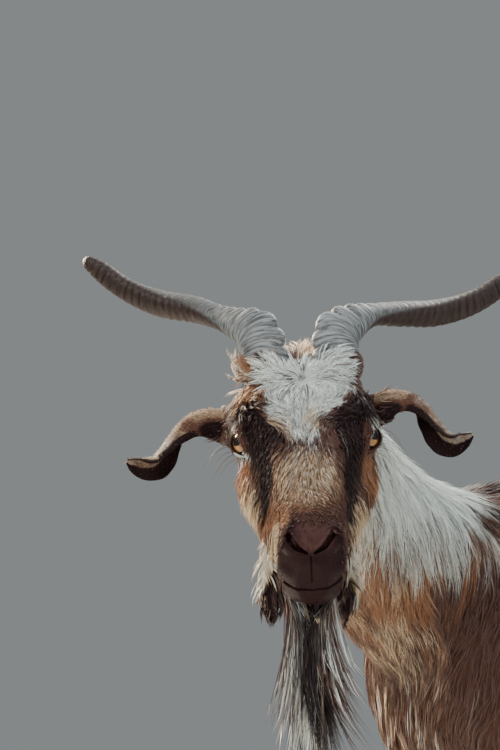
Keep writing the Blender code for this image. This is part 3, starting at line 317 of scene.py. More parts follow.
HIND_LEG = (
    (0.055, 0.285, 0.710, 0.040, 0.085),
    (0.083, 0.288, 0.620, 0.056, 0.118),
    (0.099, 0.275, 0.540, 0.058, 0.115),
    (0.103, 0.268, 0.475, 0.049, 0.090),
    (0.098, 0.298, 0.420, 0.038, 0.064),
    (0.092, 0.342, 0.370, 0.028, 0.044),
    (0.088, 0.378, 0.325, 0.024, 0.036),
    (0.086, 0.393, 0.288, 0.025, 0.034),
    (0.085, 0.393, 0.248, 0.022, 0.027),
    (0.084, 0.388, 0.200, 0.0185, 0.0225),
    (0.083, 0.382, 0.150, 0.0190, 0.0225),
    (0.082, 0.378, 0.116, 0.0245, 0.027),
    (0.081, 0.364, 0.084, 0.0235, 0.025),
    (0.080, 0.350, 0.056, 0.0285, 0.032),
    (0.080, 0.344, 0.040, 0.0280, 0.031),
)
LEGS = {"front": FRONT_LEG, "hind": HIND_LEG}
# How far each foot is set ahead (-) or behind (+) of a square stance, below this height.
STRIDE = {("front", 1): -0.018, ("front", -1): 0.020, ("hind", 1): 0.030, ("hind", -1): -0.022}
STRIDE_FROM = 0.50


def leg_rows(kind, side, rows):
    """A leg's stations on this side: foot moved by stride * (share of the way down) ** 1.3."""
    table = even_rows(LEGS[kind], rows)
    share = np.clip((STRIDE_FROM - table[:, 2]) / STRIDE_FROM, 0, 1)
    table[:, 1] += STRIDE[kind, side] * share**1.3
    table[:, 0] *= side
    table[:, :3] += SHIFT
    return table


def swept_rows(stations, rows):
    """The stations as even rows, shifted to where the solids stand."""
    table = even_rows(stations, rows)
    table[:, :3] += SHIFT
    return table


LEG_TABLES = {(kind, side): leg_rows(kind, side, 70) for kind in LEGS for side in SIDES}
NECK_TABLE, TAIL_TABLE = swept_rows(NECK, 61), swept_rows(TAIL, 31)
print("foot heights", {key: round(table[-1, 2], 3) for key, table in LEG_TABLES.items()})

# %% [markdown]
# The trunk's section is taller than an ellipse above and fuller below, so its upper and lower
# halves have their own power. Balls stretched along the muscles add shoulder, haunch, knee and
# hock, and where forms overlap they will be fused to one skin.

# %% Forms of the body
def trunk_form(rows=80, sides=64):
    """Section at y: x = half * |cos| ** (2 / power), z = middle + reach * |sin| ** (2 / power)."""
    table = smooth_curve([s[0] for s in TORSO], TORSO, np.linspace(TORSO[0][0], TORSO[-1][0], rows))
    y, top, bottom, half, middle, above, below = (table[:, [i]] for i in range(7))
    angle = ring_angles(sides)
    across, rise = np.cos(angle), np.sin(angle)
    power = np.where(rise > 0, above, below)
    x = half * np.sign(across) * np.abs(across) ** (2 / power)
    reach = np.where(rise > 0, top - middle, middle - bottom)
    z = middle + reach * np.sign(rise) * np.abs(rise) ** (2 / power)
    return tube(np.stack([x, np.broadcast_to(y, x.shape), z], -1) + SHIFT)


def leg_forms(kind, side):
    """The limb's tube, its joints as stretched balls, and the two dewclaws behind the pastern."""
    table = LEG_TABLES[kind, side]
    forms = [tube(sections(table[:, :3], table[:, 3], table[:, 4], 32))]
    at = lambda z: np.array([np.interp(-z, -table[:, 2], table[:, k]) for k in range(3)])
    if kind == "front":
        forms.append(ball(at(0.250) + (0, -0.004, 0), (0.027, 0.028, 0.036)))
        forms.append(ball(SHIFT + (0.082 * side, -0.165, 0.445), (0.030, 0.034, 0.040)))
    else:
        forms.append(ball(at(0.330) + (0, 0.034, 0), (0.013, 0.017, 0.042)))
        forms.append(ball(at(0.385) + (0, 0.030, 0.010), (0.022, 0.032, 0.055)))
        forms.append(ball(SHIFT + (0.098 * side, 0.212, 0.478), (0.034, 0.034, 0.052)))
    for out in (-1, 1):
        forms.append(ball(at(0.094) + (0.0125 * out, 0.026, 0), (0.0072, 0.0085, 0.0115), rows=10, sides=16))
    return forms


body_forms = [trunk_form(), ball(SHIFT + (0, -0.19, 0.725), (0.052, 0.12, 0.058))]
for table in (NECK_TABLE, TAIL_TABLE):
    body_forms.append(tube(sections(table[:, :3], table[:, 3], table[:, 4], 40)))
for side in SIDES:
    body_forms.append(ball(SHIFT + (side * 0.088, -0.225, 0.600), (0.046, 0.085, 0.150)))
    body_forms.append(ball(SHIFT + (side * 0.092, 0.268, 0.712), (0.034, 0.045, 0.036)))
    body_forms.append(ball(SHIFT + (side * 0.096, 0.325, 0.600), (0.056, 0.098, 0.120)))
    body_forms += leg_forms("front", side) + leg_forms("hind", side)
print(len(body_forms), "forms of the body")

# %% [markdown]
# The head is a tube of sections down the face. Each section is a closed curve through the
# midline, brow, cheek, jaw and throat, so the long flat nose, the broad cheeks and the narrow
# jaw of a goat come from a short table. Lumps under the skin add eye rims, nostrils and lips.

# %% Forms of the head
# In millimetres: down the face from the eyes, then top of the midline, brow out and up, cheek out
# and up, jaw out and up, and the throat on the midline.
HEAD = (
    (-112, 20, 20, 14, 26, -12, 20, -42, -50),
    (-100, 32, 30, 24, 42, -10, 32, -60, -70),
    (-78, 44, 42, 36, 56, -6, 45, -76, -88),
    (-50, 52, 48, 44, 62, -4, 54, -86, -98),
    (-22, 49, 54, 38, 66, -14, 58, -88, -100),
    (5, 42, 51, 32, 65, -22, 57, -83, -95),
    (34, 36, 39, 27, 59, -28, 51, -76, -88),
    (66, 31, 29, 23, 48, -28, 41, -68, -79),
    (96, 28, 25, 20, 38, -22, 32, -63, -74),
    (122, 25, 24, 16, 33, -18, 27, -63, -75),
    (142, 21, 23, 12, 32, -18, 26, -66, -78),
    (157, 10, 18, 2, 27, -24, 21, -62, -72),
    (166, -6, 9, -12, 15, -30, 12, -52, -60),
)
HEAD_AXES = np.array([LEFT, SNOUT, BROW])


def head_form(rows=110, sides=72):
    """Section at a place down the face: a smooth closed curve through its eight outline points."""
    table = np.asarray(HEAD, float) / 1000
    places = np.linspace(table[0, 0], table[-1, 0], rows)
    table = smooth_curve(table[:, 0], table, places)
    _, top, brow_out, brow, cheek_out, cheek, jaw_out, jaw, throat = table.T
    zero = np.zeros(rows)
    out = np.stack([zero, brow_out, cheek_out, jaw_out, zero, -jaw_out, -cheek_out, -brow_out], 1)
    up = np.stack([top, brow, cheek, jaw, throat, jaw, cheek, brow], 1)
    turns = 8 * np.arange(sides) / sides
    overlapping = lambda values: np.roll(np.tile(values, 2), 2, 1)[:, :13].T
    closed = lambda values: smooth_curve(np.arange(-2, 11), overlapping(values), turns).T
    return tube(on_head(closed(out), places[:, None], closed(up)))


def head_lump(left, snout, brow, radii):
    """A rounded form in the head, in millimetres along the head's axes."""
    return ball(on_head(left / 1000, snout / 1000, brow / 1000), np.asarray(radii) / 1000, HEAD_AXES)


head_forms = [
    head_form(),
    head_lump(0, -50, 36, (40, 26, 24)),  # the crown between the horns
    head_lump(0, 151, -58, (19, 14, 13)),  # lower lip
    head_lump(0, 137, -68, (19, 21, 13)),  # chin
    head_lump(0, 70, 22, (17, 55, 10)),  # nasal bone
]
for side in SIDES:
    head_forms += [
        head_lump(side * 55, -3, 2, (20, 25, 21)),  # rim of the orbit
        head_lump(side * 50, -14, 21, (17, 20, 14)),  # brow
        head_lump(side * 50, -40, -48, (20, 42, 42)),  # chewing muscle
        head_lump(side * 40, 42, -28, (16, 36, 18)),  # cheek bone
        head_lump(side * 19, 143, 5, (12, 17, 14)),  # wing of the nostril
        head_lump(side * 16, 149, -25, (16, 15, 18)),  # upper lip
        head_lump(side * 36, -54, 46, (25, 27, 22)),  # seat of the horn
    ]
print(len(head_forms), "forms of the head")

# %% [markdown]
# Overlapping forms become one skin with the voxel remesh: it fills them with small cubes and
# wraps a new surface round the result, so shoulder runs into neck with no crease. The face is
# done on a much finer grid than the body. The skin then sinks by the depth of the coat that
# will stand on it, so that the hair tips end where the solids do.

# %% One skin over the forms
BODY_VOXEL, HEAD_VOXEL = 0.0072, 0.0016
COAT_DEPTH = {"body": 0.0075, "leg": 0.0022, "head": 0.0014}


def applied(obj):
    """The object with the mesh that its modifiers make in place of its own."""
    bpy.context.view_layer.update()
    graph = bpy.context.evaluated_depsgraph_get()
    mesh = bpy.data.meshes.new_from_object(obj.evaluated_get(graph), depsgraph=graph)
    obj.modifiers.clear()
    obj.data = mesh
    return obj


def fused(name, forms, voxel, passes):
    """Overlapping forms wrapped in one surface of this voxel size, then softened."""
    obj = mesh_object(name, *gathered(forms))
    remesh = obj.modifiers.new("one_skin", "REMESH")
    remesh.mode = "VOXEL"
    remesh.voxel_size = voxel
    soften = obj.modifiers.new("soften", "SMOOTH")
    soften.factor = 0.5
    soften.iterations = passes
    return applied(obj)


def vertices_of(mesh, field="co"):
    """The places or normals of all points, one row each."""
    values = np.empty(len(mesh.vertices) * 3, np.float32)
    mesh.vertices.foreach_get(field, values)
    return values.reshape(-1, 3).astype(float)


def ramp(x, low, high):
    """0 below low, 1 above high, and 3t^2 - 2t^3 between."""
    t = np.clip((np.asarray(x, float) - low) / (high - low), 0, 1)
    return t * t * (3 - 2 * t)


def sunk(obj, depth_at):
    """Moves each point inwards along its normal by depth_at(points)."""
    points, normals = vertices_of(obj.data), vertices_of(obj.data, "normal")
    points -= normals * depth_at(points)[:, None]
    obj.data.vertices.foreach_set("co", points.astype(np.float32).ravel())
    obj.data.update()
    return obj


def body_depth(points):
    """The legs' depth low down, the trunk's higher up, and a soft step between."""
    return COAT_DEPTH["leg"] + (COAT_DEPTH["body"] - COAT_DEPTH["leg"]) * ramp(points[:, 2], 0.33, 0.50)


def head_depth(points):
    """The coat's depth over the face, and none on the bare nose and lips."""
    down_face = (points - EYE_LINE) @ SNOUT
    return COAT_DEPTH["head"] * (1 - ramp(down_face, 0.100, 0.130))


body_skin = sunk(fused("body_skin", body_forms, BODY_VOXEL, 6), body_depth)
head_skin = sunk(fused("head_skin", head_forms, HEAD_VOXEL, 7), head_depth)
print("faces of body and head", len(body_skin.data.polygons), len(head_skin.data.polygons))

# %% [markdown]
# A goat's ear is a thin leaf, rolled at its root and open towards the tip. It is a sheet curled
# round a path, with an inner and an outer face. Each station says how much of a full tube the
# curl makes and how far the opening has turned from back to front.

# %% Ears
# Out of the midline, above and before the eyes, half-width, share of a tube, turn in degrees.
EAR = {
    1: (
        (0.0480, 0.0190, -0.062, 0.0140, 0.58, 150),
        (0.0640, 0.0210, -0.056, 0.0160, 0.57, 148),
        (0.0823, 0.0245, -0.050, 0.0175, 0.55, 140),
        (0.0985, 0.0262, -0.045, 0.0175, 0.52, 118),
        (0.1100, 0.0205, -0.040, 0.0180, 0.49, 95),
        (0.1190, 0.0085, -0.036, 0.0185, 0.46, 80),
        (0.1275, -0.0045, -0.030, 0.0195, 0.44, 70),
        (0.1375, -0.0135, -0.025, 0.0200, 0.42, 64),
        (0.1490, -0.0155, -0.022, 0.0180, 0.40, 58),
        (0.1608, -0.0098, -0.023, 0.0115, 0.36, 50),
        (0.1688, -0.0035, -0.024, 0.0035, 0.28, 45),
    ),
    -1: (
        (0.0569, 0.0100, -0.062, 0.0155, 0.58, 150),
        (0.0794, 0.0130, -0.056, 0.0170, 0.56, 148),
        (0.1000, 0.0150, -0.050, 0.0180, 0.54, 138),
        (0.1150, 0.0095, -0.043, 0.0185, 0.50, 115),
        (0.1265, -0.0030, -0.037, 0.0190, 0.47, 92),
        (0.1380, -0.0175, -0.030, 0.0200, 0.44, 74),
        (0.1505, -0.0265, -0.024, 0.0200, 0.41, 66),
        (0.1640, -0.0260, -0.022, 0.0175, 0.39, 58),
        (0.1758, -0.0200, -0.023, 0.0115, 0.35, 50),
        (0.1822, -0.0150, -0.024, 0.0040, 0.28, 45),
    ),
}
EAR_THICK = 0.0026


def ear_frame(side, rows):
    """The ear's path with the way its inside opens and the way across it."""
    table = even_rows(EAR[side], rows)
    path = seen(table[:, 0] * side, table[:, 1], table[:, 2])
    along = unit(np.gradient(path, axis=0))
    face = unit(LOOK - (along @ LOOK)[:, None] * along)
    up = np.cross(along, face) * side
    turn = np.radians(table[:, 5])[:, None]
    opening = face * np.cos(turn) + up * np.sin(turn)
    edge = up * np.cos(turn) - face * np.sin(turn)
    return table, path, opening, edge


def ear_form(side, rows=72, columns=26):
    """Sheet at angle a: radius * sin(a) across and radius * (cos(half) - cos(a)) towards the opening."""
    table, path, opening, edge = ear_frame(side, rows)
    half = (np.pi * np.clip(table[:, 4], 0.05, 0.85))[:, None]
    radius = table[:, [3]] / np.where(half > np.pi / 2, 1.0, np.sin(half))
    over = np.linspace(-1, 1, columns)
    share = np.linspace(0, 1, rows)[:, None]
    rim = np.sqrt(np.clip(1 - np.abs(over) ** 6, 0.05, 1))
    thick = (EAR_THICK * (1 - 0.35 * share) + 0.003 * np.clip(1 - share / 0.25, 0, 1)) * rim
    ripple = 0.0006 * np.sin(share * 34 + 5 * over) * np.abs(over) ** 3
    sheets = []
    for way in (0.5, -0.5):
        size = radius + thick * way + ripple
        wide = size * np.sin(half * over)
        bend = radius * np.cos(half) - size * np.cos(half * over)
        sheets.append(path[:, None] + wide[..., None] * edge[:, None] + bend[..., None] * opening[:, None])
    return tube(np.concatenate([sheets[0], sheets[1][:, ::-1]], axis=1))


# %% [markdown]
# Lids frame the eye. They could be pushed out of the skin, but a fold of its own is easier to
# place: each is a tapered tube on an arc just outside the ball, and a hollow is cut between them.

# %% Lids
def eye_axes(side):
    """The way the eye looks, and the two ways across it: towards the nose and up."""
    out = unit(0.76 * side * LEFT + 0.62 * LOOK + 0.10 * CROWN)
    fore = unit(SNOUT - np.dot(SNOUT, out) * out)
    return out, fore, np.cross(out, fore) * -side


def eye_centre(side):
    """The middle of an eye, from its place in the head's own axes."""
    return on_head(side * EYE_OUT, 0.0, EYE_UP)


def lid_form(side, upper, rows=34, sides=14):
    """Arc (0.93 cos t, height sin t) lifted onto a sphere round the ball, with a fold that tapers."""
    out, fore, rise = eye_axes(side)
    t = np.linspace(0, np.pi, rows)[:, None]
    flat = np.cos(t) * fore * 0.93 + np.sin(t) * rise * (0.66 if upper else -0.62)
    lift = np.sqrt(np.clip(1 - np.sum(flat**2, axis=1, keepdims=True), 0.02, 1))
    path = eye_centre(side) + (EYE_RADIUS + 0.0008) * (flat + lift * out)
    size = 0.0025 * (0.6 + 0.4 * np.sin(t[:, 0]))
    return tube(sections(path, size, size * 1.05, sides, side_axis=out))


def eye_hollow(side):
    """The space between the lids, a little smaller than their ring, so that they hug the ball."""
    out, fore, rise = eye_axes(side)
    return ball(eye_centre(side) + 0.0150 * out, (0.0125, 0.0142, 0.0092), [out, fore, rise])


print("eyes at", [eye_centre(side).round(3) for side in SIDES])

# %% [markdown]
# Nostrils are slits that slant up and out from the middle of the nose, a thin groove runs down
# from between them, and the mouth is a groove that follows the lips. Their stations are read off
# in front view and dropped onto the nose by a ray, so each slit lies in the surface.

# %% Nostrils and mouth
# As seen from in front: out of the midline, above the eyes, half-height.
NOSTRIL = (
    (0.0030, -0.1090, 0.0013),
    (0.0080, -0.1060, 0.0020),
    (0.0140, -0.1012, 0.0031),
    (0.0225, -0.0900, 0.0034),
)
LIP_GROOVE = (
    (0.0, -0.1110, 0.0009),
    (0.0, -0.1180, 0.0008),
    (0.0, -0.1270, 0.0008),
    (0.0, -0.1360, 0.0006),
)


def on_nose(stations, side, raised=0.0):
    """The stations, raised if asked, dropped onto the nose and joined by a smooth curve."""
    tops = [seen(side * left, rise + raised, 0.3) for left, rise, _ in stations]
    hits = np.array([head_skin.ray_cast(Vector(top), Vector(-LOOK))[1] for top in tops])
    table = np.column_stack([hits, [s[2] for s in stations]])
    table = smooth_curve(np.arange(len(stations)), table, np.linspace(0, len(stations) - 1, 26))
    return table[:, :3], table[:, 3]


def nostril_form(side):
    """A slit whose section is a flat oval, 8 mm deep to each side of the surface."""
    path, half = on_nose(NOSTRIL, side)
    return tube(sections(path, half, 0.0080, 16, side_axis=CROWN, power=2.0))


def nostril_wing(side):
    """The raised rim above a nostril: a roll along the same stations, 5 mm higher up."""
    path, half = on_nose(NOSTRIL, side, 0.0050)
    return tube(sections(path - 0.0012 * LOOK, 0.0016 + half * 0.7, 0.0032, 16, side_axis=CROWN, power=2.0))


def lip_groove_form():
    """The thin groove from between the nostrils to the lip."""
    path, half = on_nose(LIP_GROOVE, 1)
    return tube(sections(path, half, 0.0013, 12, side_axis=LEFT, power=2.0))


def mouth_form():
    """A V-shaped groove along the lips: left = 34 mm * sin, set back with the square of its place."""
    place = np.linspace(-1, 1, 61)
    left = 0.0345 * np.sin(np.clip(place * 1.35, -np.pi / 2, np.pi / 2)) * np.abs(place) ** 0.15
    path = on_head(left, 0.1640 - 0.0740 * np.abs(place) ** 2.2, -0.0425 + 0.0060 * np.abs(place))
    along = unit(np.gradient(path, axis=0))
    outward = unit(np.cross(along, BROW))
    outward *= np.sign(np.sum(outward * (path - on_head(0, 0.08, -0.038)), axis=1))[:, None]
    lip = np.cross(along, outward) * 0.0030
    rim = path + 0.0130 * outward
    return tube(np.stack([path - 0.0050 * outward, rim + lip, rim - lip], 1))


# %% [markdown]
# Two tassels of skin hang at the throat. Their boxes in the solids give place and length. With
# lids, ears and the rims of the nostrils they are the fine forms that join the skin.

# %% Throat tassels
def tassel_form(name, rows=40, sides=24):
    """A club on a thin stalk: half-width grows to 0.85 of the way down, then rounds off."""
    low, high = map(np.array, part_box(name))
    middle, length = (low + high) / 2, high[2] - low[2]
    share = np.linspace(0, 1, rows)
    wide = smooth_curve([0, 0.25, 0.62, 0.88, 1], [0.0060, 0.0078, 0.0116, 0.0100, 0.0024], share)[:, 0]
    path = np.stack([middle[0] + 0 * share, middle[1] + 0 * share, high[2] - share * length], 1)
    return tube(sections(path, wide - 0.0006, wide * 0.9 - 0.0006, sides, side_axis=LEFT))


fine_forms = [ear_form(side) for side in SIDES]
fine_forms += [lid_form(side, upper) for side in SIDES for upper in (True, False)]
fine_forms += [tassel_form(f"wattle_{name}") for name in SIDES.values()]
fine_forms += [nostril_wing(side) for side in SIDES]
hollows = [eye_hollow(side) for side in SIDES] + [nostril_form(side) for side in SIDES]
hollows += [lip_groove_form(), mouth_form()]
print(len(fine_forms), "fine forms to add,", len(hollows), "hollows to cut")

# %% [markdown]
# One Boolean joins body, head, ears, lids and tassels, so no seam shows anywhere. A second cuts
# the hollows, and the blocks under the sloping line where the hoof begins. Only then are all
# points of the skin final, and the hair can be planted on it.

# %% Join and cut the skin
CORONET, CORONET_SLOPE, UNDER_HOOF_EDGE = 0.050, 0.22, 0.004


def foot_centre(kind, side):
    """The middle of the leg where it meets the hoof."""
    table = LEG_TABLES[kind, side]
    return np.array([np.interp(-CORONET, -table[:, 2], table[:, k]) for k in range(3)])


def under_coronet(kind, side):
    """A block whose top falls by 0.22 of the way back, a little under the hoof's upper edge."""
    x, y, _ = foot_centre(kind, side)
    ys = y + np.linspace(-0.09, 0.09, 12)
    top = CORONET - UNDER_HOOF_EDGE - CORONET_SLOPE * (ys - y)
    corner = lambda dx, z: np.stack([np.full(12, x + dx), ys, z], 1)
    floor = np.full(12, -0.02)
    corners = [corner(dx, z) for dx, z in ((-0.08, top), (0.08, top), (0.08, floor), (-0.08, floor))]
    return tube(np.stack(corners, 1))


def combined(obj, forms, operation):
    """The object joined with, or cut by, closed forms in one Boolean."""
    others = bpy.data.collections.new("others")
    bpy.context.scene.collection.children.link(others)
    for i, form in enumerate(forms):
        piece = form
        if not isinstance(form, bpy.types.Object):
            piece = mesh_object(f"form_{i}", *facing_out(*form))
        bpy.context.scene.collection.objects.unlink(piece)
        others.objects.link(piece)
    join = obj.modifiers.new("combine", "BOOLEAN")
    join.operation = operation
    join.operand_type = "COLLECTION"
    join.collection = others
    join.solver = "MANIFOLD"
    applied(obj)
    for piece in list(others.objects):
        bpy.data.objects.remove(piece, do_unlink=True)
    bpy.data.collections.remove(others)
    return obj


skin = combined(body_skin, [head_skin, *fine_forms], "UNION")
hollows += [under_coronet(kind, side) for kind in LEGS for side in SIDES]
skin = combined(skin, hollows, "DIFFERENCE")
skin.name = skin.data.name = "skin"
skin.data.materials.clear()
print("skin", len(skin.data.vertices), "points,", len(skin.data.polygons), "faces")

# %% [markdown]
# Hair needs to know, for every point of the skin, which part of the goat it is on, which way the
# coat lies, how it is marked and where it is on an unwrapped skin. All of this is worked out for
# all points at once. Neighbours come from the mesh's edges, as one table with a row per point.

# %% The skin as arrays
points, normals = vertices_of(skin.data), vertices_of(skin.data, "normal")
COUNT, MOST = len(points), 14


def neighbour_table(mesh):
    """Row i lists the points joined to point i by an edge, filled up with i itself."""
    ends = np.empty(len(mesh.edges) * 2, np.int32)
    mesh.edges.foreach_get("vertices", ends)
    pairs = np.concatenate([ends.reshape(-1, 2), ends.reshape(-1, 2)[:, ::-1]])
    pairs = pairs[np.argsort(pairs[:, 0], kind="stable")]
    rank = np.arange(len(pairs)) - np.searchsorted(pairs[:, 0], np.arange(COUNT))[pairs[:, 0]]
    table = np.repeat(np.arange(COUNT)[:, None], MOST, axis=1)
    keep = rank < MOST
    table[pairs[keep, 0], rank[keep]] = pairs[keep, 1]
    return table


neighbours = neighbour_table(skin.data)


def nearest(places, start, hops=6):
    """From a start point of the skin, steps to whichever neighbour is closest, several times."""
    here = start.copy()
    for _ in range(hops):
        options = np.concatenate([here[:, None], neighbours[here]], axis=1)
        away = np.sum((points[options] - places[:, None]) ** 2, axis=2)
        here = options[np.arange(len(here)), np.argmin(away, axis=1)]
    return here


def along_skin(vectors, at_normals):
    """Vectors laid flat on the skin and made one long."""
    return unit(vectors - np.sum(vectors * at_normals, axis=1, keepdims=True) * at_normals)


def evened(values, passes):
    """Each point takes the mean of itself and its neighbours, several times."""
    for _ in range(passes):
        values = 0.5 * values + 0.5 * values[neighbours].mean(axis=1)
    return values


print("neighbours", neighbours.shape)

# %% [markdown]
# Value noise gives soft random patches: random numbers on a grid of cubes, blended smoothly
# between the corners. The grid's numbers come from its whole coordinates, so the pattern is the
# same on every run and on every piece that asks for the same place.

# %% Soft noise
def cell_value(cell, seed):
    """A number from 0 to 1 for each whole-numbered cell."""
    mixed = (cell.astype(np.int64) * (73856093, 19349663, 83492791)).sum(axis=-1) + seed * 2654435761
    mixed = (mixed ^ (mixed >> 13)) * 1274126177
    return ((mixed ^ (mixed >> 16)) & 0xFFFF) / 65535.0


def noise(places, size, seed=0):
    """Trilinear blend of the eight cell values round each place, with smoothed shares."""
    cells = places / size
    low = np.floor(cells)
    share = cells - low
    share = share * share * (3 - 2 * share)
    total = 0.0
    for corner in np.ndindex(2, 2, 2):
        weight = np.prod(np.where(np.array(corner) == 1, share, 1 - share), axis=-1)
        total = total + weight * cell_value(low + corner, seed)
    return total


# %% [markdown]
# Each part claims the skin near it. A swept form gives three numbers for any place: how far
# along its path it is, the angle round the path, and how far out it is compared with the form's
# own surface. The last one decides between leg and trunk, and planes at the nape and the base
# of the neck divide the rest.

# %% Which part each point is on
def on_form(places, table, up):
    """Share along the nearest row, angle from up towards the goat's left, distance in half-widths."""
    path, wide, deep = table[:, :3], table[:, 3], table[:, 4]
    gap = ((places[:, None] - path[None]) ** 2).sum(axis=2)
    row = np.argmin(gap, axis=1)
    along = unit(np.gradient(path, axis=0))[row]
    off = places - path[row]
    rise = unit(np.asarray(up) - (along @ np.asarray(up, float))[:, None] * along)
    side = unit(np.array([1.0, 0, 0]) - along[:, [0]] * along)
    a, b = np.sum(off * side, axis=1) / wide[row], np.sum(off * rise, axis=1) / deep[row]
    past = np.sum(off * along, axis=1) / np.maximum(wide, deep)[row]
    return row / (len(path) - 1), np.arctan2(a, b), np.sqrt(a**2 + b**2 + past**2), along


def beyond(places, base, normal, reach):
    """0 on one side of a plane and 1 on the other, with a soft step of this reach."""
    return ramp((places - base) @ unit(normal), -reach, reach)


trunk_y = [station[0] for station in TORSO]
trunk_rows = smooth_curve(trunk_y, TORSO, np.linspace(trunk_y[0], trunk_y[-1], 61))
y, top, bottom, half = trunk_rows.T[:4]
TRUNK_TABLE = np.stack([0 * y, y, (top + bottom) / 2, half, (top - bottom) / 2], 1)
TRUNK_TABLE += np.append(SHIFT, [0, 0])
NAPE = EYE_LINE - 0.106 * LOOK - 0.020 * CROWN + 0.004 * LEFT
NECK_BASE = np.array([0.010, -0.372, 0.665]) + SHIFT

trunk_share, trunk_angle, trunk_out, _ = on_form(points, TRUNK_TABLE, (0, 0, 1))
neck_share, neck_angle, _, neck_along = on_form(points, NECK_TABLE, (0, 0, 1))
tail_share, tail_angle, tail_out, tail_along = on_form(points, TAIL_TABLE, (0, 0, 1))
by_leg = np.stack([on_form(points, table, (0, -1, 0))[:3] for table in LEG_TABLES.values()])
leg_which = np.argmin(by_leg[:, 2], axis=0)
leg_share, leg_angle, leg_out = by_leg[leg_which, :, np.arange(COUNT)].T

ear_near, ear_share, ear_inside, ear_edge, ear_which = np.full(COUNT, 9.0), *np.zeros((4, COUNT))
for i, side in enumerate(SIDES):
    table, path, opening, edge = ear_frame(side, 60)
    gap = np.sqrt(((points[:, None] - path[None]) ** 2).sum(axis=2))
    row, closer = gap.argmin(axis=1), gap.min(axis=1) < ear_near
    across_ear = np.sum((points - path[row]) * edge[row], axis=1) / table[row, 3]
    faces_in = np.sum(normals * opening[row], axis=1)
    found = np.stack([gap.min(axis=1), row / 59, faces_in, across_ear, np.full(COUNT, i)])
    ear_near, ear_share, ear_inside, ear_edge, ear_which = np.where(
        closer, found, (ear_near, ear_share, ear_inside, ear_edge, ear_which)
    )
left_place, snout_place, brow_place = ((points - EYE_LINE) @ way for way in (LEFT, SNOUT, BROW))
before_eyes = (points - EYE_LINE) @ LOOK
print("points nearest to each leg", np.bincount(leg_which), "near an ear", int((ear_near < 0.026).sum()))

# %% [markdown]
# Head, neck, trunk and legs meet in soft steps, so that coat and colour run from one to the next
# without a line. Ears and tassels have firm edges, and the trunk takes what the others leave.

# %% Shares of the parts
is_head = beyond(points, NAPE, (0.33, -0.82, 0.42), 0.012)
is_ear = (np.abs(left_place) > 0.070) * (ear_near < 0.026) * (ear_share > 0.22)
is_tassel = np.zeros(COUNT)
for name in SIDES.values():
    low, high = map(np.array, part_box(f"wattle_{name}"))
    inside = np.all((points > low - 0.004) & (points < high + 0.004), axis=1)
    is_tassel = np.maximum(is_tassel, inside & (points[:, 2] < high[2] - 0.012))
is_head = is_head * (1 - is_ear)
is_neck = beyond(points, NECK_BASE, (0.10, -0.80, 0.55), 0.035) * (1 - is_head) * (1 - is_ear)
is_tail = (tail_out < 1.45) * beyond(points, np.array([0, 0.446, 0.709]) + SHIFT, (0, 0.92, 0.38), 0.004)
is_leg = ramp(0.52 - points[:, 2], 0.0, 0.09) * ramp(trunk_out - leg_out, -0.15, 0.15) * (1 - is_neck)
is_leg = np.maximum(is_leg, ramp(0.36 - points[:, 2], 0, 0.03)) * (1 - is_head)
is_trunk = np.clip(1 - is_head - is_neck - is_tail - is_leg - is_ear, 0, 1)
shares = np.stack([is_head, is_ear, is_neck, is_trunk, is_leg, is_tail], 1)
print("sums of shares: head, ear, neck, trunk, leg, tail", shares.sum(axis=0).round(), "tassels", is_tassel.sum())

# %% [markdown]
# The lie of the coat. On the face, hair spreads from a whorl between the horns, runs down the
# nose and back over the cheeks. Neck hair runs back and down, on the breast it falls, on the
# trunk it runs back and turns down on the flanks, and on the legs it runs down. The flow is
# evened out over neighbouring points so that the parts run into one another.

# %% Which way the coat lies
WHORL = (0.000, -0.031)


def face_flow():
    """Away from the whorl, into the forelock's point, out over the nose, back over the cheeks."""
    from_whorl = unit((left_place - WHORL[0])[:, None] * LEFT + (snout_place - WHORL[1])[:, None] * SNOUT)
    outward = np.clip(left_place / 0.028, -1, 1)[:, None] * LEFT
    into_point = SNOUT - 0.9 * outward * ramp(np.abs(left_place), 0.004, 0.03)[:, None]
    nose = SNOUT + 0.85 * outward
    cheek = 0.45 * SNOUT - BROW
    throat = -CROWN - 0.45 * LOOK
    on_point = ramp(snout_place, -0.042, -0.010)[:, None]
    on_nose = ramp(snout_place + 0.7 * np.abs(left_place), 0.036, 0.052)[:, None]
    on_cheek = ramp(np.abs(left_place) - brow_place * 0.8, 0.022, 0.052)[:, None]
    on_throat = ramp(-brow_place, 0.050, 0.075)[:, None]
    flow = from_whorl * (1 - on_point) + into_point * on_point
    flow = flow * (1 - on_nose) + nose * on_nose
    flow = flow * (1 - on_cheek) + cheek * on_cheek
    return flow * (1 - on_throat) + throat * on_throat


def underside():
    """1 where the skin faces the ground, so that falling hair turns back under the form."""
    return ramp(normals @ DOWN, 0.15, 0.60)[:, None]


def neck_flow():
    """Back along the crest, more and more downwards towards the throat, forwards at its lower end."""
    round_it = np.abs(neck_angle)[:, None]
    low = ramp(0.56 - neck_share, 0, 0.16)[:, None]
    back = -neck_along * (1.30 - 0.30 * round_it) + DOWN * (0.02 + 0.42 * round_it)
    fall = DOWN - BACK * 0.75 * ramp(round_it, 0.9, 1.7) + BACK * 1.9 * underside()
    return unit(back) * (1 - low) + unit(fall + BACK * (1 - ramp(round_it, 0.5, 1.2))) * low


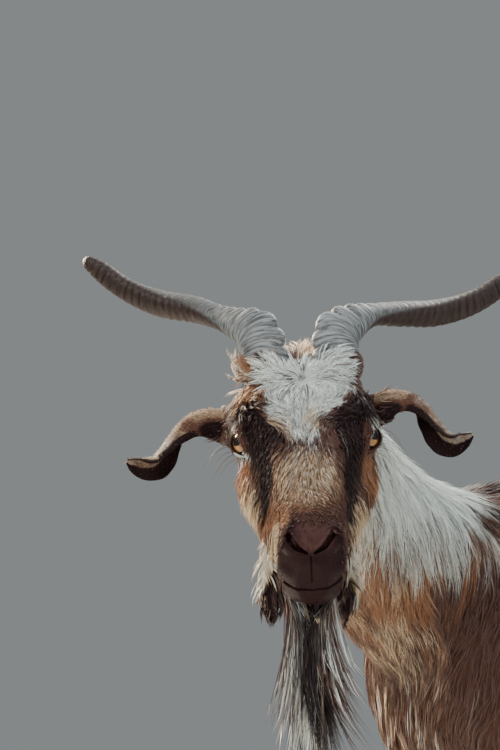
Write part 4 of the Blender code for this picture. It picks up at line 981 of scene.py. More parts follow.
def trunk_flow():
    """Back on the spine, turning down over the side; the breast falls and the belly runs back."""
    round_it = np.abs(trunk_angle)[:, None]
    slope = np.sin(np.clip(round_it, 0, np.pi)) * 0.95
    flow = BACK * (1.05 - 0.55 * np.sin(round_it)) + DOWN * slope
    y = (points[:, 1] - SHIFT[1])[:, None]
    breast = ramp(-y, 0.20, 0.34)
    rump = ramp(y, 0.36, 0.43)
    fall = DOWN - BACK * 0.55 * ramp(round_it, 0.6, 1.4) + BACK * 0.9 * (1 - ramp(round_it, 0.3, 0.8))
    fall = fall + BACK * 1.3 * underside()
    flow = flow * (1 - breast) + fall * breast
    return flow * (1 - rump) + (DOWN + 0.2 * BACK) * rump


def ear_flow():
    """Towards the tip of each ear."""
    flow = np.zeros((COUNT, 3))
    for i, side in enumerate(SIDES):
        along = unit(np.gradient(ear_frame(side, 60)[1], axis=0))
        flow[ear_which == i] = along[np.round(ear_share[ear_which == i] * 59).astype(int)]
    return flow


tail_side = np.sign(points[:, 0] - SHIFT[0])[:, None] * np.array([1.0, 0, 0])
flows = [
    face_flow(), ear_flow(), neck_flow(), trunk_flow(),
    np.broadcast_to(DOWN + 0.18 * BACK, points.shape), tail_along * 0.8 + tail_side * 0.7 + BACK * 0.3,
]
flow = sum(shares[:, [i]] * unit(f) for i, f in enumerate(flows))
flow = along_skin(flow + 1e-6 * BACK, normals)
for _ in range(3):
    flow = along_skin(evened(flow, 4), normals)
wander = (noise(points, 0.045, 5) - 0.5)[:, None] * 0.9 + (noise(points, 0.016, 6) - 0.5)[:, None] * 0.5
flow = along_skin(flow + wander * np.cross(normals, flow), normals)
print("mean flow on the trunk", (flow * is_trunk[:, None]).mean(axis=0).round(3))

# %% [markdown]
# The markings could be painted, but shapes with soft edges are easier to change: a patch or a
# stripe is a few sizes in millimetres, as seen from in front of the face. Where marks overlap,
# the strongest counts.

# %% Patches and stripes
VIEW_DISTANCE = 1.6


def front_view(places):
    """Across and above the eye line in millimetres, as seen from 1.6 m before the face."""
    off = places - EYE_LINE
    scale = VIEW_DISTANCE / (VIEW_DISTANCE - off @ LOOK)
    return (off @ RIGHT_OF_VIEW) * scale * 1000, off[:, 2] * scale * 1000


across, above = front_view(points)


def patch(x, y, wide, high):
    """A soft oval mark, with its middle and half-sizes in millimetres."""
    return 1 - ramp(np.hypot((across - x) / wide, (above - y) / high), 0.65, 1.35)


def stripe(line):
    """A soft band along a line of (across, above, half-width) in millimetres."""
    line = np.asarray(line, float)
    best = np.full(COUNT, 9.0)
    for a, b in zip(line[:-1], line[1:]):
        way = b[:2] - a[:2]
        t = np.clip(((across - a[0]) * way[0] + (above - a[1]) * way[1]) / (way @ way), 0, 1)
        away = np.hypot(across - a[0] - t * way[0], above - a[1] - t * way[1])
        best = np.minimum(best, away / (a[2] + t * (b[2] - a[2])))
    return 1 - ramp(best, 0.7, 1.25)


def layered(*marks):
    """The strongest of several marks at each point, from 0 to 1."""
    return np.clip(np.max(np.stack(marks), axis=0), 0, 1)


grain = noise(points, 0.006, 11)
blotch = noise(points, 0.022, 12)
print("view of the points, mm", across.min().round(), across.max().round(), above.min().round())

# %% [markdown]
# The face: a white forelock that ends in a V, two dark stripes through the eyes, ginger cheeks, a
# pale bridge and a maroon nose, all ragged by noise at their edges. Four shares are kept for
# each point, for white, cream, ginger and dark hair, over a brown ground.

# %% Marks of the face
muzzle_edge = np.interp(np.abs(across - 8.3), [0, 16, 23, 33, 45], [-90, -87, -84, -110, -170])
muzzle = ramp(muzzle_edge - above + 5 * (grain - 0.5), -3, 3) * is_head * ramp(snout_place, 0.085, 0.10)
muzzle = muzzle * ramp(0.072 + brow_place, 0.0, 0.008)

FORELOCK_EDGE = ([-60, -47, -30, -9, 8, 11, 22, 44, 60], [30, 20, 11, 3, -4, 11, 25, 27, 30])
forelock_top = 88 - 14 * (1 - ramp(np.abs(across + 2), 8, 18)) - 0.35 * np.clip(-across - 6, 0, 60)
forelock = ramp(above - np.interp(across, *FORELOCK_EDGE) - 4 + 8 * (grain - 0.5), -3, 5)
forelock = forelock * ramp(forelock_top - above, -5, 5)
forelock = forelock * ramp(44 - np.abs(across + 1) + 8 * (blotch - 0.5), -3, 5)
eye_away = np.min([np.linalg.norm(points - eye_centre(side), axis=1) for side in SIDES], axis=0)
dark_face = layered(
    stripe([(-60, 36, 5), (-57, 22, 9), (-50, 11, 13), (-45, 0, 14), (-43, -16, 12), (-39, -26, 9),
            (-39, -40, 7), (-40, -53, 5), (-39, -69, 3)]),
    stripe([(-40, 9, 6), (-28, 3, 5), (-19, -6, 3)]),
    stripe([(60, 56, 6), (58, 43, 8), (53, 29, 12), (44, 18, 15), (44, 3, 14), (46, -8, 13), (45, -22, 9),
            (44, -35, 7), (43, -47, 5), (43, -60, 4), (41, -76, 3)]),
    0.62 * patch(-4, 61, 5, 7) * (0.4 + grain), 0.36 * stripe([(-4, -69, 6), (8, -72, 13), (21, -69, 6)]),
    0.46 * stripe([(-8, -84, 7), (8, -86, 13), (25, -84, 7)]), 0.4 * patch(-23.5, 29.5, 8, 3),
    0.45 * stripe([(-44, 80, 4), (-30, 82, 4), (-18, 80, 3)]),
    1 - ramp(eye_away, 0.0174, 0.0188),
)
white_face = layered(
    forelock * (1 - 0.6 * patch(13, 32, 12, 9)) * (1 - 0.4 * patch(-28, 18, 20, 9)),
    0.7 * patch(70.5, 20, 8, 12), 0.65 * patch(-67, 56, 10, 11), 0.6 * patch(-73, 18, 7, 9),
    0.8 * patch(-65, -18, 10, 5), 0.22 * patch(2, -24, 26, 38), 0.15 * patch(-58, -92, 9, 44),
    0.25 * stripe([(-17, -72, 2), (-25, -90, 3), (-27, -110, 3)]),
)
cream_face = layered(
    # The first patch, on the cheek at the view's left, is cream hair brightened further by a painted rim light
    # from behind.
    0.95 * patch(-56, -88, 13, 48), 0.9 * patch(52.5, -80, 11, 26), 0.54 * patch(0, -40, 34, 36),
    0.85 * patch(12, 30, 14, 12), 0.95 * patch(-67, 56, 12, 12), 0.8 * patch(0, 88, 17, 12),
    0.6 * patch(-28, 16, 22, 9), 0.45 * patch(-73, 22, 8, 14),
    # This stripe along the muzzle's left edge is a fringe of cream hair with a painted rim light from behind.
    0.9 * stripe([(-30, -88, 4), (-33, -112, 5), (-32, -135, 5), (-14, -160, 4)]),
)
ginger_face = layered(
    0.9 * patch(-62, -33, 10, 11), 0.95 * patch(66, 57, 6, 9), 0.95 * patch(61.5, -30, 11, 16),
    0.9 * patch(55.5, -122, 10, 22), 0.7 * patch(-28, -76, 14, 16), 0.95 * patch(-58, 46, 14, 9),
    0.9 * patch(-53, 74, 8, 11), 0.6 * patch(-2, 86, 13, 10), 0.54 * patch(0, -44, 38, 36),
    (0.5 + 0.5 * grain) * patch(8, -99, 20, 18) * muzzle,
)
chin_side = ramp(snout_place, 0.080, 0.100) * ramp(-brow_place, 0.055, 0.068)
behind_face = ramp(-before_eyes, 0.03, 0.07)
dark_face = dark_face * (1 - behind_face)
pale_behind = 0.6 * behind_face * ramp(blotch, 0.4, 0.7)
cream_face = layered(cream_face, pale_behind, 0.5 * ramp(-brow_place, 0.05, 0.08))
beard_white = chin_side * ramp(-left_place, 0.006, 0.014)
beard_dark = chin_side * (1 - ramp(np.abs(left_place - 0.004), 0.009, 0.014))
beard_grey = chin_side * ramp(left_place, 0.013, 0.018)
white_face = layered(white_face * (1 - chin_side), 1.15 * beard_white, 0.42 * beard_grey)
cream_face = layered(cream_face * (1 - chin_side), 0.55 * chin_side * ramp(-left_place, -0.010, 0.0))
dark_face = layered(dark_face * (1 - chin_side), 0.95 * beard_dark)
print("forelock and face dark, mean over all points", forelock.mean().round(3), dark_face.mean().round(3))

# %% [markdown]
# The neck is white above and ginger below, with a streaky edge and a painted shade along a crease
# low down. The angle round the neck and the share along it place the marks, and noise breaks up
# their edges.

# %% Marks of the neck
degrees = np.degrees(np.abs(neck_angle))
streak = noise(points * (1, 0.5, 1.0), 0.018, 21)
fine_streak = noise(points * (1, 0.6, 0.6), 0.009, 22)
WHITE_EDGE = ([0.40, 0.46, 0.50, 0.60, 0.70, 0.80, 0.90], [0, 18, 48, 66, 88, 112, 138])
white_edge = np.interp(neck_share, *WHITE_EDGE)
under_white = degrees - white_edge + 40 * (fine_streak - 0.5)
white_neck = layered(
    1 - ramp(under_white, -22, 18),
    0.55 * (1 - ramp(under_white, 15, 60)) * ramp(neck_share, 0.46, 0.50),
    0.5 * (1 - ramp(np.hypot((neck_share - 0.40) / 0.06, (degrees - 52) / 17), 0.7, 1.2)),
    0.45 * ramp(degrees, 105, 130) * ramp(0.43 - neck_share, 0, 0.03),
)
ginger_neck = 0.75 * ramp(under_white, 0, 25) * ramp(blotch, 0.30, 0.55)
cream_neck = ramp(streak, 0.42, 0.62) * 0.58 * ramp(degrees, 90, 125)
# Painted shade: a dark band along the crease low on the neck.
crease_shade_at = np.interp(degrees, [70, 100, 180], [0.50, 0.485, 0.45])
crease_shade = 1 - ramp(np.abs(neck_share - crease_shade_at), 0.008, 0.035)
near_withers = ramp(neck_share, 0.25, 0.32) * ramp(0.50 - neck_share, 0, 0.03)
dark_neck = layered(
    crease_shade * ramp(degrees, 65, 85) * (0.45 + 0.4 * blotch),
    0.8 * (1 - ramp(np.abs(degrees - 26), 5, 12)) * near_withers,
)
print("neck white and dark, mean over all points", white_neck.mean().round(3), dark_neck.mean().round(3))

# %% [markdown]
# The trunk is red-brown with a dark line on the spine and a paler breast. The photo doesn't show
# the legs, so their marks are a guess: dark in front and at the hooves, cream behind.

# %% Marks of trunk and legs
side_x, side_y, height = (points - SHIFT).T
spine = 1 - ramp(np.abs(side_x), 0.012, 0.034)
dark_trunk = layered(0.85 * spine * ramp(height, 0.66, 0.70), 0.16 * ramp(noise(points, 0.09, 35), 0.5, 0.85))
breast_pale = ramp(-side_y, 0.24, 0.36) * (1 - 0.9 * ramp(np.abs(side_x), 0.055, 0.105))
breast_pale = breast_pale * ramp(0.72 - height, 0.0, 0.10)
from_withers = np.hypot((np.abs(side_x) - 0.055) / 0.030, (side_y + 0.300) / 0.055)
white_trunk = layered(
    0.6 * (1 - ramp(from_withers, 0.6, 1.3)) * ramp(height, 0.68, 0.73),
    0.22 * breast_pale * (0.6 + 0.6 * fine_streak), 0.5 * ramp(0.43 - height, 0, 0.04),
)
ginger_trunk = 0.32 * ramp(noise(points, 0.06, 33), 0.35, 0.7)
cream_trunk = layered(
    0.20 * ramp(noise(points, 0.05, 34), 0.40, 0.85), 0.36 * breast_pale * (0.75 + 0.5 * fine_streak)
)
dark_leg = layered(
    0.9 * ramp(np.cos(leg_angle), 0.15, 0.75) * ramp(0.36 - height, 0, 0.06),
    0.8 * ramp(0.115 - height, 0, 0.02),
)
cream_leg = 0.6 * ramp(-np.cos(leg_angle), 0.1, 0.7) * ramp(0.34 - height, 0, 0.08)
print("dark of trunk and legs, mean over all points", dark_trunk.mean().round(3), dark_leg.mean().round(3))

# %% [markdown]
# At their roots the ears are cream where they face up, a painted highlight, and dark where they
# face down, a painted shade. Further out they are dark along their rim, with a pale outer half, and
# the tassels are pale above and outside, dark below. The parts' shares then bring all marks together.

# %% Marks of ears and tassels, and all marks together
outside = 1 - ramp(ear_inside, -0.25, 0.25)
ear_rim = ramp(np.abs(ear_edge), 0.86, 0.97)
ear_tip = ramp(ear_share, 0.36, 0.48)
# Painted light at the ear's root: cream where the skin faces up and dark where it faces down.
facing_up = normals @ CROWN
ear_dark_and_shade = layered(
    0.90 * (1 - ear_tip) * ramp(ear_share, 0.14, 0.26) * ramp(0.35 - facing_up, -0.2, 0.3),
    0.88 * ear_tip * (1 - outside) * ramp(np.abs(ear_edge), 0.30, 0.62), 0.9 * ear_rim * ear_tip,
)
ear_white = 0.42 * ear_tip * (1 - ear_rim) * (0.4 + 0.9 * blotch)
ear_cream_and_highlight = layered(0.5 * ear_tip * (0.5 + 0.7 * grain), 0.55 * (1 - ear_tip) * ramp(facing_up, 0.1, 0.6))


def marks(head, neck, trunk, leg, tail, ear):
    """The sum of each part's mark times the part's share."""
    return (head * is_head + neck * is_neck + trunk * is_trunk + leg * is_leg + tail * is_tail + ear * is_ear)


white = marks(white_face, white_neck, white_trunk, 0.15, 0.55, ear_white)
cream = marks(cream_face, cream_neck, cream_trunk, cream_leg, 0.7, ear_cream_and_highlight)
ginger = marks(ginger_face, ginger_neck, ginger_trunk, 0.35, 0.2, 0.35)
dark = marks(dark_face, dark_neck, dark_trunk, dark_leg, 0.3 * spine, ear_dark_and_shade)
MARKS = np.clip(np.stack([white, cream, ginger, dark], 1), 0, 1)
on_tassel = is_tassel > 0.5
for side in SIDES:
    here = on_tassel & (side * (across - 8) > 0)
    outer, higher = side * (across - across[here].mean()) / 9, (above - above[here].mean()) / 22
    pale = ramp(outer + higher, -0.6, 0.2)[here]
    MARKS[here] = np.stack([0.52 * pale, 0.45 + 0.35 * pale, 0 * pale, 0.75 * (1 - pale)], 1)
BARE = np.clip(muzzle, 0, 1)
print("mean shares white, cream, ginger, dark", MARKS.mean(axis=0).round(3), "bare", BARE.sum().round())

# %% [markdown]
# The unwrap: along and round each part, as if its skin were slit and rolled out. Every strand of
# hair later sits as a tiny patch at its root's place on it.

# %% The skin unrolled
def rolled_out(angle, share, column, columns):
    """Angle round the part and share along it, in one column of the square."""
    u = (column + 0.04 + 0.92 * (angle / (2 * np.pi) + 0.5)) / columns
    return np.stack([u, 0.03 + 0.92 * share], 1)


face_angle = np.arctan2(left_place, brow_place + 0.035)
unrolled = (
    is_head[:, None] * rolled_out(face_angle, np.clip((snout_place + 0.13) / 0.31, 0, 1), 0, 1)
    + is_neck[:, None] * rolled_out(neck_angle, neck_share, 0, 1)
    + is_trunk[:, None] * rolled_out(trunk_angle, trunk_share, 0, 1)
    + is_tail[:, None] * rolled_out(tail_angle, tail_share, 0, 1)
    + is_leg[:, None] * rolled_out(leg_angle, leg_share, leg_which, 4)
    + is_ear[:, None] * rolled_out(0 * ear_share + (normals @ LOOK) * 3, ear_share, ear_which, 2)
)
unrolled = np.clip(unrolled, 0.01, 0.985)
print("unrolled", unrolled.min(axis=0).round(3), unrolled.max(axis=0).round(3))

# %% [markdown]
# Roots are spread evenly: the skin's triangles are put in an order that keeps neighbours
# together, and roots are then taken at equal steps of the area that hair should cover. From
# each root a path follows the flow over the skin, lifting off it as hair does, or falling free
# where the hair is long enough to hang.

# %% Roots and paths
skin.data.calc_loop_triangles()
triangles = np.empty(len(skin.data.loop_triangles) * 3, np.int32)
skin.data.loop_triangles.foreach_get("vertices", triangles)
triangles = triangles.reshape(-1, 3)
corner_a, corner_b, corner_c = (points[triangles[:, k]] for k in range(3))
areas = 0.5 * np.linalg.norm(np.cross(corner_b - corner_a, corner_c - corner_a), axis=1)
cells = ((corner_a - points.min(axis=0)) / 0.004).astype(np.int64)
code = np.zeros(len(cells), np.int64)
for bit in range(9):
    for axis in range(3):
        code |= ((cells[:, axis] >> bit) & 1) << (3 * bit + axis)
by_place = np.argsort(code, kind="stable")


def roots_on(where, count, rng):
    """Places on the skin at equal steps of area times density, and the nearest point of each."""
    density = areas * where[triangles].mean(axis=1)
    run = np.cumsum(density[by_place])
    pick = by_place[np.searchsorted(run, (np.arange(count) + rng.random(count)) * run[-1] / count * 0.999999)]
    r, s = np.sqrt(rng.random(count)), rng.random(count)
    shares = np.stack([1 - r, r * (1 - s), r * s], 1)
    corners = triangles[pick]
    place = np.sum(points[corners] * shares[..., None], axis=1)
    return place, corners[np.arange(count), np.argmax(shares, axis=1)]


def hair_paths(place, vertex, length, lift, steps, rng, wild=0.15, free=0.0, sag=0.0, stray=0.0, bend=0.0):
    """Each step goes along the flow, or falls with its own slant, and keeps its height off the skin."""
    turn = rng.normal(0, wild, len(place))[:, None]
    slant = stray * rng.normal(0, 1, (len(place), 3)) * (1, 1, 0)
    rows, ups = [], []
    way = flow[vertex]
    for i in range(steps + 1):
        share = i / steps
        vertex = nearest(place, vertex)
        up = normals[vertex]
        height = np.sum((place - points[vertex]) * up, axis=1)
        wanted = lift * share**0.8 - 0.0012 * (1 - share) ** 4
        target = np.where(free * share > 0.05, np.maximum(wanted, height * free), wanted)
        place = place + up * (target - height)[:, None]
        rows.append(place)
        ups.append(up)
        lie = along_skin(flow[vertex], up)
        lie = along_skin(lie + turn * np.cross(up, lie), up)
        way = unit(0.35 * way + 0.65 * lie) if i else lie
        fall = np.clip(sag * (share + 0.15), 0, 1)
        way = unit(way * (1 - fall) + unit(DOWN + slant + bend * share**2) * fall)
        place = place + way * (length / steps)[:, None]
    return np.stack(rows, 1), np.stack(ups, 1)


print("triangles to plant on", len(triangles), "area", areas.sum().round(3), "m2")

# %% [markdown]
# Hair parts into wisps. A wisp is a handful of strands round one path, which start a little
# apart and draw together towards the tip, each with its own length, wave and roll. A strand is a
# closed blade with three sides that tapers to a point. All strands of a coat are one broadcast
# of arrays, and each keeps the markings of its own root.

# %% Strands in wisps
def strands(name, paths, ups, vertex, per_wisp, width, rings, rng, spread=0.004, gather=0.35,
            wave=0.0010, mottle=1.0):
    """Blade at share s: path + offset * (1 - (1 - gather) s) + wave * sin, as rings of three points."""
    wisps, steps = paths.shape[0], paths.shape[1] - 1
    number, each = wisps * per_wisp, (wisps, per_wisp, 1)
    by_wisp = lambda value: value[:, None, None] if np.ndim(value) else value
    share = np.linspace(0, 1, rings + 1)
    reach = rng.uniform(0.70, 1.0, each) * share * steps
    low = np.minimum(reach.astype(int), steps - 1)
    part = (reach - low)[..., None]
    rows = np.arange(wisps)[:, None, None]
    centre = paths[rows, low] * (1 - part) + paths[rows, low + 1] * part
    up = unit(ups[rows, low] * (1 - part) + ups[rows, low + 1] * part)
    along = unit(np.gradient(centre, axis=2))
    side = unit(np.cross(along, up))
    angle = rng.uniform(0, 2 * np.pi, each)
    radius = by_wisp(spread) * np.sqrt(rng.random(each))
    draw = 1 - (1 - gather) * share
    phase, beat = rng.uniform(0, 6.28, each), rng.uniform(3.0, 7.0, each)
    sway = (wave * np.sin(phase + beat * share) * share * rng.uniform(0.3, 1.2, each))
    centre = centre + (radius * np.cos(angle) * draw + sway)[..., None] * side
    centre = centre + (radius * np.sin(angle))[..., None] * along
    centre = centre + (rng.uniform(-0.25, 0.5, each) * radius * share)[..., None] * up
    roll = rng.normal(0, 0.45, each)[..., None]
    flat, ridge = side * np.cos(roll) + up * np.sin(roll), up * np.cos(roll) - side * np.sin(roll)
    swell = smooth_curve([0, 0.25, 0.65, 1], [0.75, 1.0, 0.72, 0.30], share)[:, 0]
    half = by_wisp(width) * 0.5 * swell * rng.uniform(0.7, 1.3, each)
    half = half[..., None]
    edges = [centre - flat * half, centre + flat * half, centre + ridge * half * 0.8]
    body = np.stack(edges, 3)[:, :, :rings].reshape(number, rings * 3, 3)
    cloud = np.concatenate([body, centre[:, :, -1].reshape(number, 1, 3)], 1)

    size = rings * 3 + 1
    r, c = np.meshgrid(np.arange(rings - 1), np.arange(3), indexing="ij")
    n = (c + 1) % 3
    quads = np.stack([r * 3 + c, r * 3 + n, r * 3 + 3 + n, r * 3 + 3 + c], -1).reshape(-1, 4)
    last = (rings - 1) * 3
    tips = [[last + a, last + b, size - 1] for a, b in ((0, 1), (1, 2), (2, 0))]
    tips = np.array([*tips, [2, 1, 0]])
    start = (np.arange(number) * size)[:, None, None]
    faces = [(quads[None] + start).reshape(-1, 4), (tips[None] + start).reshape(-1, 3)]
    cloud = cloud.reshape(-1, 3)
    if volume(cloud - cloud.mean(axis=0), faces) < 0:
        faces = [g[:, ::-1] for g in faces]
    obj = mesh_object(name, cloud, faces)

    root = nearest(centre[:, :, 0].reshape(number, 3), np.repeat(vertex, per_wisp), hops=4)
    level = np.append(np.repeat(share[:rings], 3), 1.0)
    blade = np.append(np.tile([0.0, 1.0, 0.5], rings), 0.5)
    jitter = rng.normal(0, 0.13, (number, 4)) + rng.normal(0, 0.10, (wisps, 4)).repeat(per_wisp, 0)
    mark = np.clip(MARKS[root] + mottle * jitter * (0.25 + MARKS[root]), 0, 1)
    colour_of(obj, "marks", np.repeat(mark, size, axis=0))
    own = 0.5 + (rng.random((number, 2)) - 0.5) * (0.25 + 0.75 * mottle, mottle)
    bare = np.repeat(BARE[root], size)
    kind = np.stack([np.repeat(own[:, 0], size), np.tile(level, number), np.repeat(own[:, 1], size), bare], 1)
    colour_of(obj, "strand", kind)
    corners = np.empty(len(obj.data.loops), np.int32)
    obj.data.loops.foreach_get("vertex_index", corners)
    place = unrolled[root[corners // size]]
    place = place + 0.003 * np.stack([blade[corners % size], level[corners % size]], 1)
    layer = obj.data.uv_layers.new(name="OFBake")
    layer.data.foreach_set("uv", place.astype(np.float32).ravel())
    shaded_smooth(obj)
    count = number * (rings * 6 - 2)
    print(f"{name}: {number} strands, {count} triangles")
    COATS.append(obj)
    return obj


def colour_of(obj, name, values):
    """A colour attribute with four values per point."""
    layer = obj.data.color_attributes.new(name=name, type="FLOAT_COLOR", domain="POINT")
    layer.data.foreach_set("color", np.asarray(values, np.float32).ravel())


COATS = []
colour_of(skin, "marks", MARKS)
colour_of(skin, "strand", np.stack([grain, np.zeros(COUNT), blotch, BARE], 1))


def coat(name, where, triangle_budget, length, width, lift, per_wisp=6, rings=2, steps=3, seed=1,
         uneven=(0.8, 1.15), **shape):
    """Plants wisps where the skin asks for them, as many as the budget of triangles allows."""
    rng = np.random.default_rng(seed)
    count = int(triangle_budget / (per_wisp * (rings * 6 - 2)))
    place, vertex = roots_on(where, count, rng)
    at = lambda value: value[vertex] if np.ndim(value) else np.full(count, value)
    spread = at(shape.pop("spread", 0.004))
    follow = {k: shape.pop(k) for k in ("wild", "free", "sag", "stray") if k in shape}
    if "bend" in shape:
        follow["bend"] = shape.pop("bend")[vertex]
    lengths, lifts = at(length) * rng.uniform(*uneven, count), at(lift) * rng.uniform(0.35, 1.0, count)
    paths, ups = hair_paths(place, vertex, lengths, lifts, steps, rng, **follow)
    return strands(name, paths, ups, vertex, per_wisp, at(width), rings, rng, spread=spread, **shape)


# %% [markdown]
# The coats. Face hair is about a centimetre long and fine, shorter round the eyes and on the
# nose, and longer on the cheeks. Neck hair is long and shaggy, trunk hair medium, leg hair
# short. No hair grows in the eye hollows or on the bare nose, where only a down of very short
# hairs shows.

# %% Face coat
clear_of_eye = ramp(eye_away, 0.0180, 0.0200)
furred_head = is_head * clear_of_eye * (1 - is_tassel)
on_cheek = ramp(np.abs(left_place) - 0.5 * brow_place, 0.035, 0.060)
bridge = ramp(0.034 - np.abs(left_place), 0, 0.012) * ramp(snout_place, 0.0, 0.02)
bridge = bridge * ramp(0.100 - snout_place, 0, 0.02)
face_length = 0.0115 + 0.008 * bridge + 0.009 * on_cheek
face_length = face_length + 0.012 * ramp(-brow_place, 0.03, 0.07) + 0.005 * ramp(-snout_place, 0.0, 0.03)
face_length = face_length * (0.40 + 0.60 * ramp(eye_away, 0.020, 0.036))
face_length = face_length * (0.40 + 0.60 * ramp(0.112 - snout_place, -0.02, 0.02))
for side, name in SIDES.items():
    half = ramp(side * left_place, -0.0005, 0.0005)
    front = 0.35 + 0.65 * ramp(before_eyes, -0.09, -0.03)
    where = furred_head * half * front * (1 - 0.5 * BARE * ramp(snout_place, 0.115, 0.140))
    where = where * (1 - BARE * ramp(snout_place, 0.140, 0.160))
    coat(f"coat_face_{name}", where, 185000, face_length, 0.00080, 0.0018 + 0.11 * face_length,
         per_wisp=4, steps=2, seed=10 + side, spread=0.0018, wild=0.18, wave=0.0005)

# %% [markdown]
# Neck hair is the longest of the coat, 6 to 8 cm, and hangs in shaggy wisps. It is planted in two
# halves, left and right, so that each mesh stays of a size that a viewer can load quickly.

# %% Neck coat
neck_length = 0.060 + 0.022 * ramp(np.pi / 2 - np.abs(neck_angle), -0.3, 0.9)
neck_length = neck_length - 0.018 * ramp(neck_share, 0.75, 0.95)
hairy_neck = is_neck * (1 - is_tassel)
for side, name in SIDES.items():
    half = ramp(side * neck_angle, -0.02, 0.02)
    coat(f"coat_neck_{name}", hairy_neck * half, 165000, neck_length, 0.0010, 0.011, per_wisp=10, rings=3,
         steps=5, seed=20 + side, spread=0.0070, gather=0.45, wild=0.15, wave=0.0028, free=0.25,
         sag=0.10, mottle=0.6)

# %% [markdown]
# The trunk's hair is flatter: it lies back along the ribs and turns down over the belly, with a
# crest of longer hair on the spine.

# %% Trunk coat
trunk_length = 0.036 + 0.034 * spine * ramp(points[:, 2], 0.66, 0.70) + 0.014 * ramp(-side_y, 0.24, 0.36)
hairy_trunk = is_trunk * (1 + 0.8 * ramp(-side_y, 0.05, 0.30))
for side, name in SIDES.items():
    half = ramp(side * side_x, -0.001, 0.001)
    coat(f"coat_trunk_{name}", hairy_trunk * half, 175000, trunk_length, 0.0013, 0.0052, per_wisp=6,
         seed=30 + side, spread=0.0055, gather=0.50, wild=0.10, wave=0.0014, mottle=0.36)

# %% [markdown]
# Short hair covers the legs and ears, and the tail carries a flat brush that parts to both sides.

# %% Leg, ear and tail coats
leg_length = 0.013 + 0.018 * ramp(points[:, 2], 0.30, 0.48)
coat("coat_legs", is_leg, 90000, leg_length, 0.0013, 0.0012 + 0.10 * leg_length, per_wisp=5, steps=2,
     seed=40, spread=0.0035, wild=0.12, wave=0.0005, mottle=0.5)
ear_length = 0.0085 - 0.0060 * ramp(ear_share, 0.25, 0.45)
coat("coat_ears", is_ear, 50000, ear_length, 0.0006, 0.0007, per_wisp=5, steps=2,
     seed=50, spread=0.0018, wild=0.2, wave=0.0002, mottle=0.3)
coat("coat_tail", is_tail, 25000, 0.055, 0.0020, 0.006, per_wisp=9, rings=4, steps=4, seed=60, spread=0.006,
     gather=0.3, wild=0.15, wave=0.003, free=0.5, sag=0.10)

# %% [markdown]
# The beard hangs from the chin in long thin wisps, each with a slant of its own: white on the
# goat's right, dark in the middle and grey on its left, where the tips bend outwards. It falls
# free: only its roots know the skin. The throat tassels carry hair of their own.

# %% Beard and tassels
chin = ramp(snout_place, 0.085, 0.100) * ramp(0.160 - snout_place, 0, 0.012) * ramp(-brow_place, 0.060, 0.068)
chin = chin * ramp(0.026 - np.abs(left_place + 0.005), -0.004, 0.004) * is_head * (1 - is_tassel)
to_left = np.clip(0.28 + left_place / 0.026, -0.22, 1.0)[:, None] * LEFT * 1.15
coat("beard", chin, 60000, 0.190 - 0.6 * np.abs(left_place), 0.0015, 0.004, per_wisp=8, rings=6, steps=8,
     seed=70, spread=0.0050, gather=0.50, wild=0.05, wave=0.005, free=1.0, sag=3.0, stray=0.048, bend=to_left,
     uneven=(0.60, 1.12))
coat("tassel_hair", is_tassel, 26000, 0.022, 0.0011, 0.0100, per_wisp=6, rings=3, steps=4, seed=75,
     spread=0.003, gather=0.5, wild=0.30, wave=0.001, free=1.0, sag=0.30, stray=0.15, mottle=0.9)

# %% [markdown]
# Some hair stands out from the form and makes the outline of the head: the forelock, the tufts
# beside the horns, the fringe of the cheeks and the hair of jaw, throat and belly.

# %% Forelock, tufts and fringes
fore = is_head * ramp(snout_place, -0.064, -0.052) * ramp(0.030 - snout_place, 0, 0.020)
fore = fore * ramp(0.036 - np.abs(left_place), -0.004, 0.006) * ramp(brow_place, 0.015, 0.030)
coat("forelock", fore, 56000, 0.030, 0.0008, 0.0036, per_wisp=7, rings=3, steps=3, seed=80, spread=0.0032,
     gather=0.30, wild=0.22, wave=0.0018, mottle=1.6)
temple = is_head * ramp(np.abs(across) - 50, -2, 8) * ramp(above - 26, -4, 6) * ramp(84 - above, -4, 6)
temple = temple * ramp(before_eyes, -0.075, -0.055)
temple = temple * (1 - 0.85 * ramp(across, 0, 1) * ramp(above, 52, 60))
crown_tuft = 0.9 * is_head * patch(-2, 80, 16, 10) * ramp(normals @ CROWN, -0.3, 0.3)
pale_tuft = patch(-66, 54, 14, 15)
coat("temple_tufts", layered(temple, crown_tuft), 40000, 0.028 + 0.012 * pale_tuft, 0.0008,
     0.0175 - 0.009 * ramp(across, 0, 1) + 0.007 * pale_tuft, per_wisp=6, rings=3, steps=3, seed=85,
     spread=0.0030, gather=0.25, wild=0.45, wave=0.0025)
cheek = is_head * ramp(np.abs(left_place) + 0.15 * snout_place, 0.046, 0.054)
cheek = cheek * ramp(-brow_place, 0.012, 0.026) * ramp(snout_place, -0.020, 0.0)
cheek = cheek * ramp(0.115 - snout_place, 0.0, 0.02) * ramp(0.078 + brow_place, 0, 0.02)
coat("cheek_fringe", cheek * ramp(eye_away, 0.026, 0.034), 50000, 0.027, 0.0010, 0.0135, per_wisp=6, rings=3,
     steps=3, seed=88, spread=0.0030, gather=0.30, wild=0.16, wave=0.0016, free=0.9, sag=0.55, stray=0.12)
jaw = is_head * ramp(-brow_place, 0.050, 0.068) * (1 - ramp(snout_place, 0.075, 0.095)) * (1 - is_tassel)
throat = layered(jaw, is_neck * ramp(np.abs(neck_angle), 2.2, 2.6) * ramp(neck_share, 0.35, 0.5))
coat("throat_fringe", throat, 30000, 0.034, 0.0012, 0.005, per_wisp=7, rings=4, steps=5, seed=90,
     spread=0.005, gather=0.35, wild=0.18, wave=0.003, free=1.0, sag=0.50, stray=0.12)
low_belly = is_trunk * ramp(np.abs(trunk_angle), 2.2, 2.7) + is_trunk * ramp(-side_y, 0.34, 0.38)
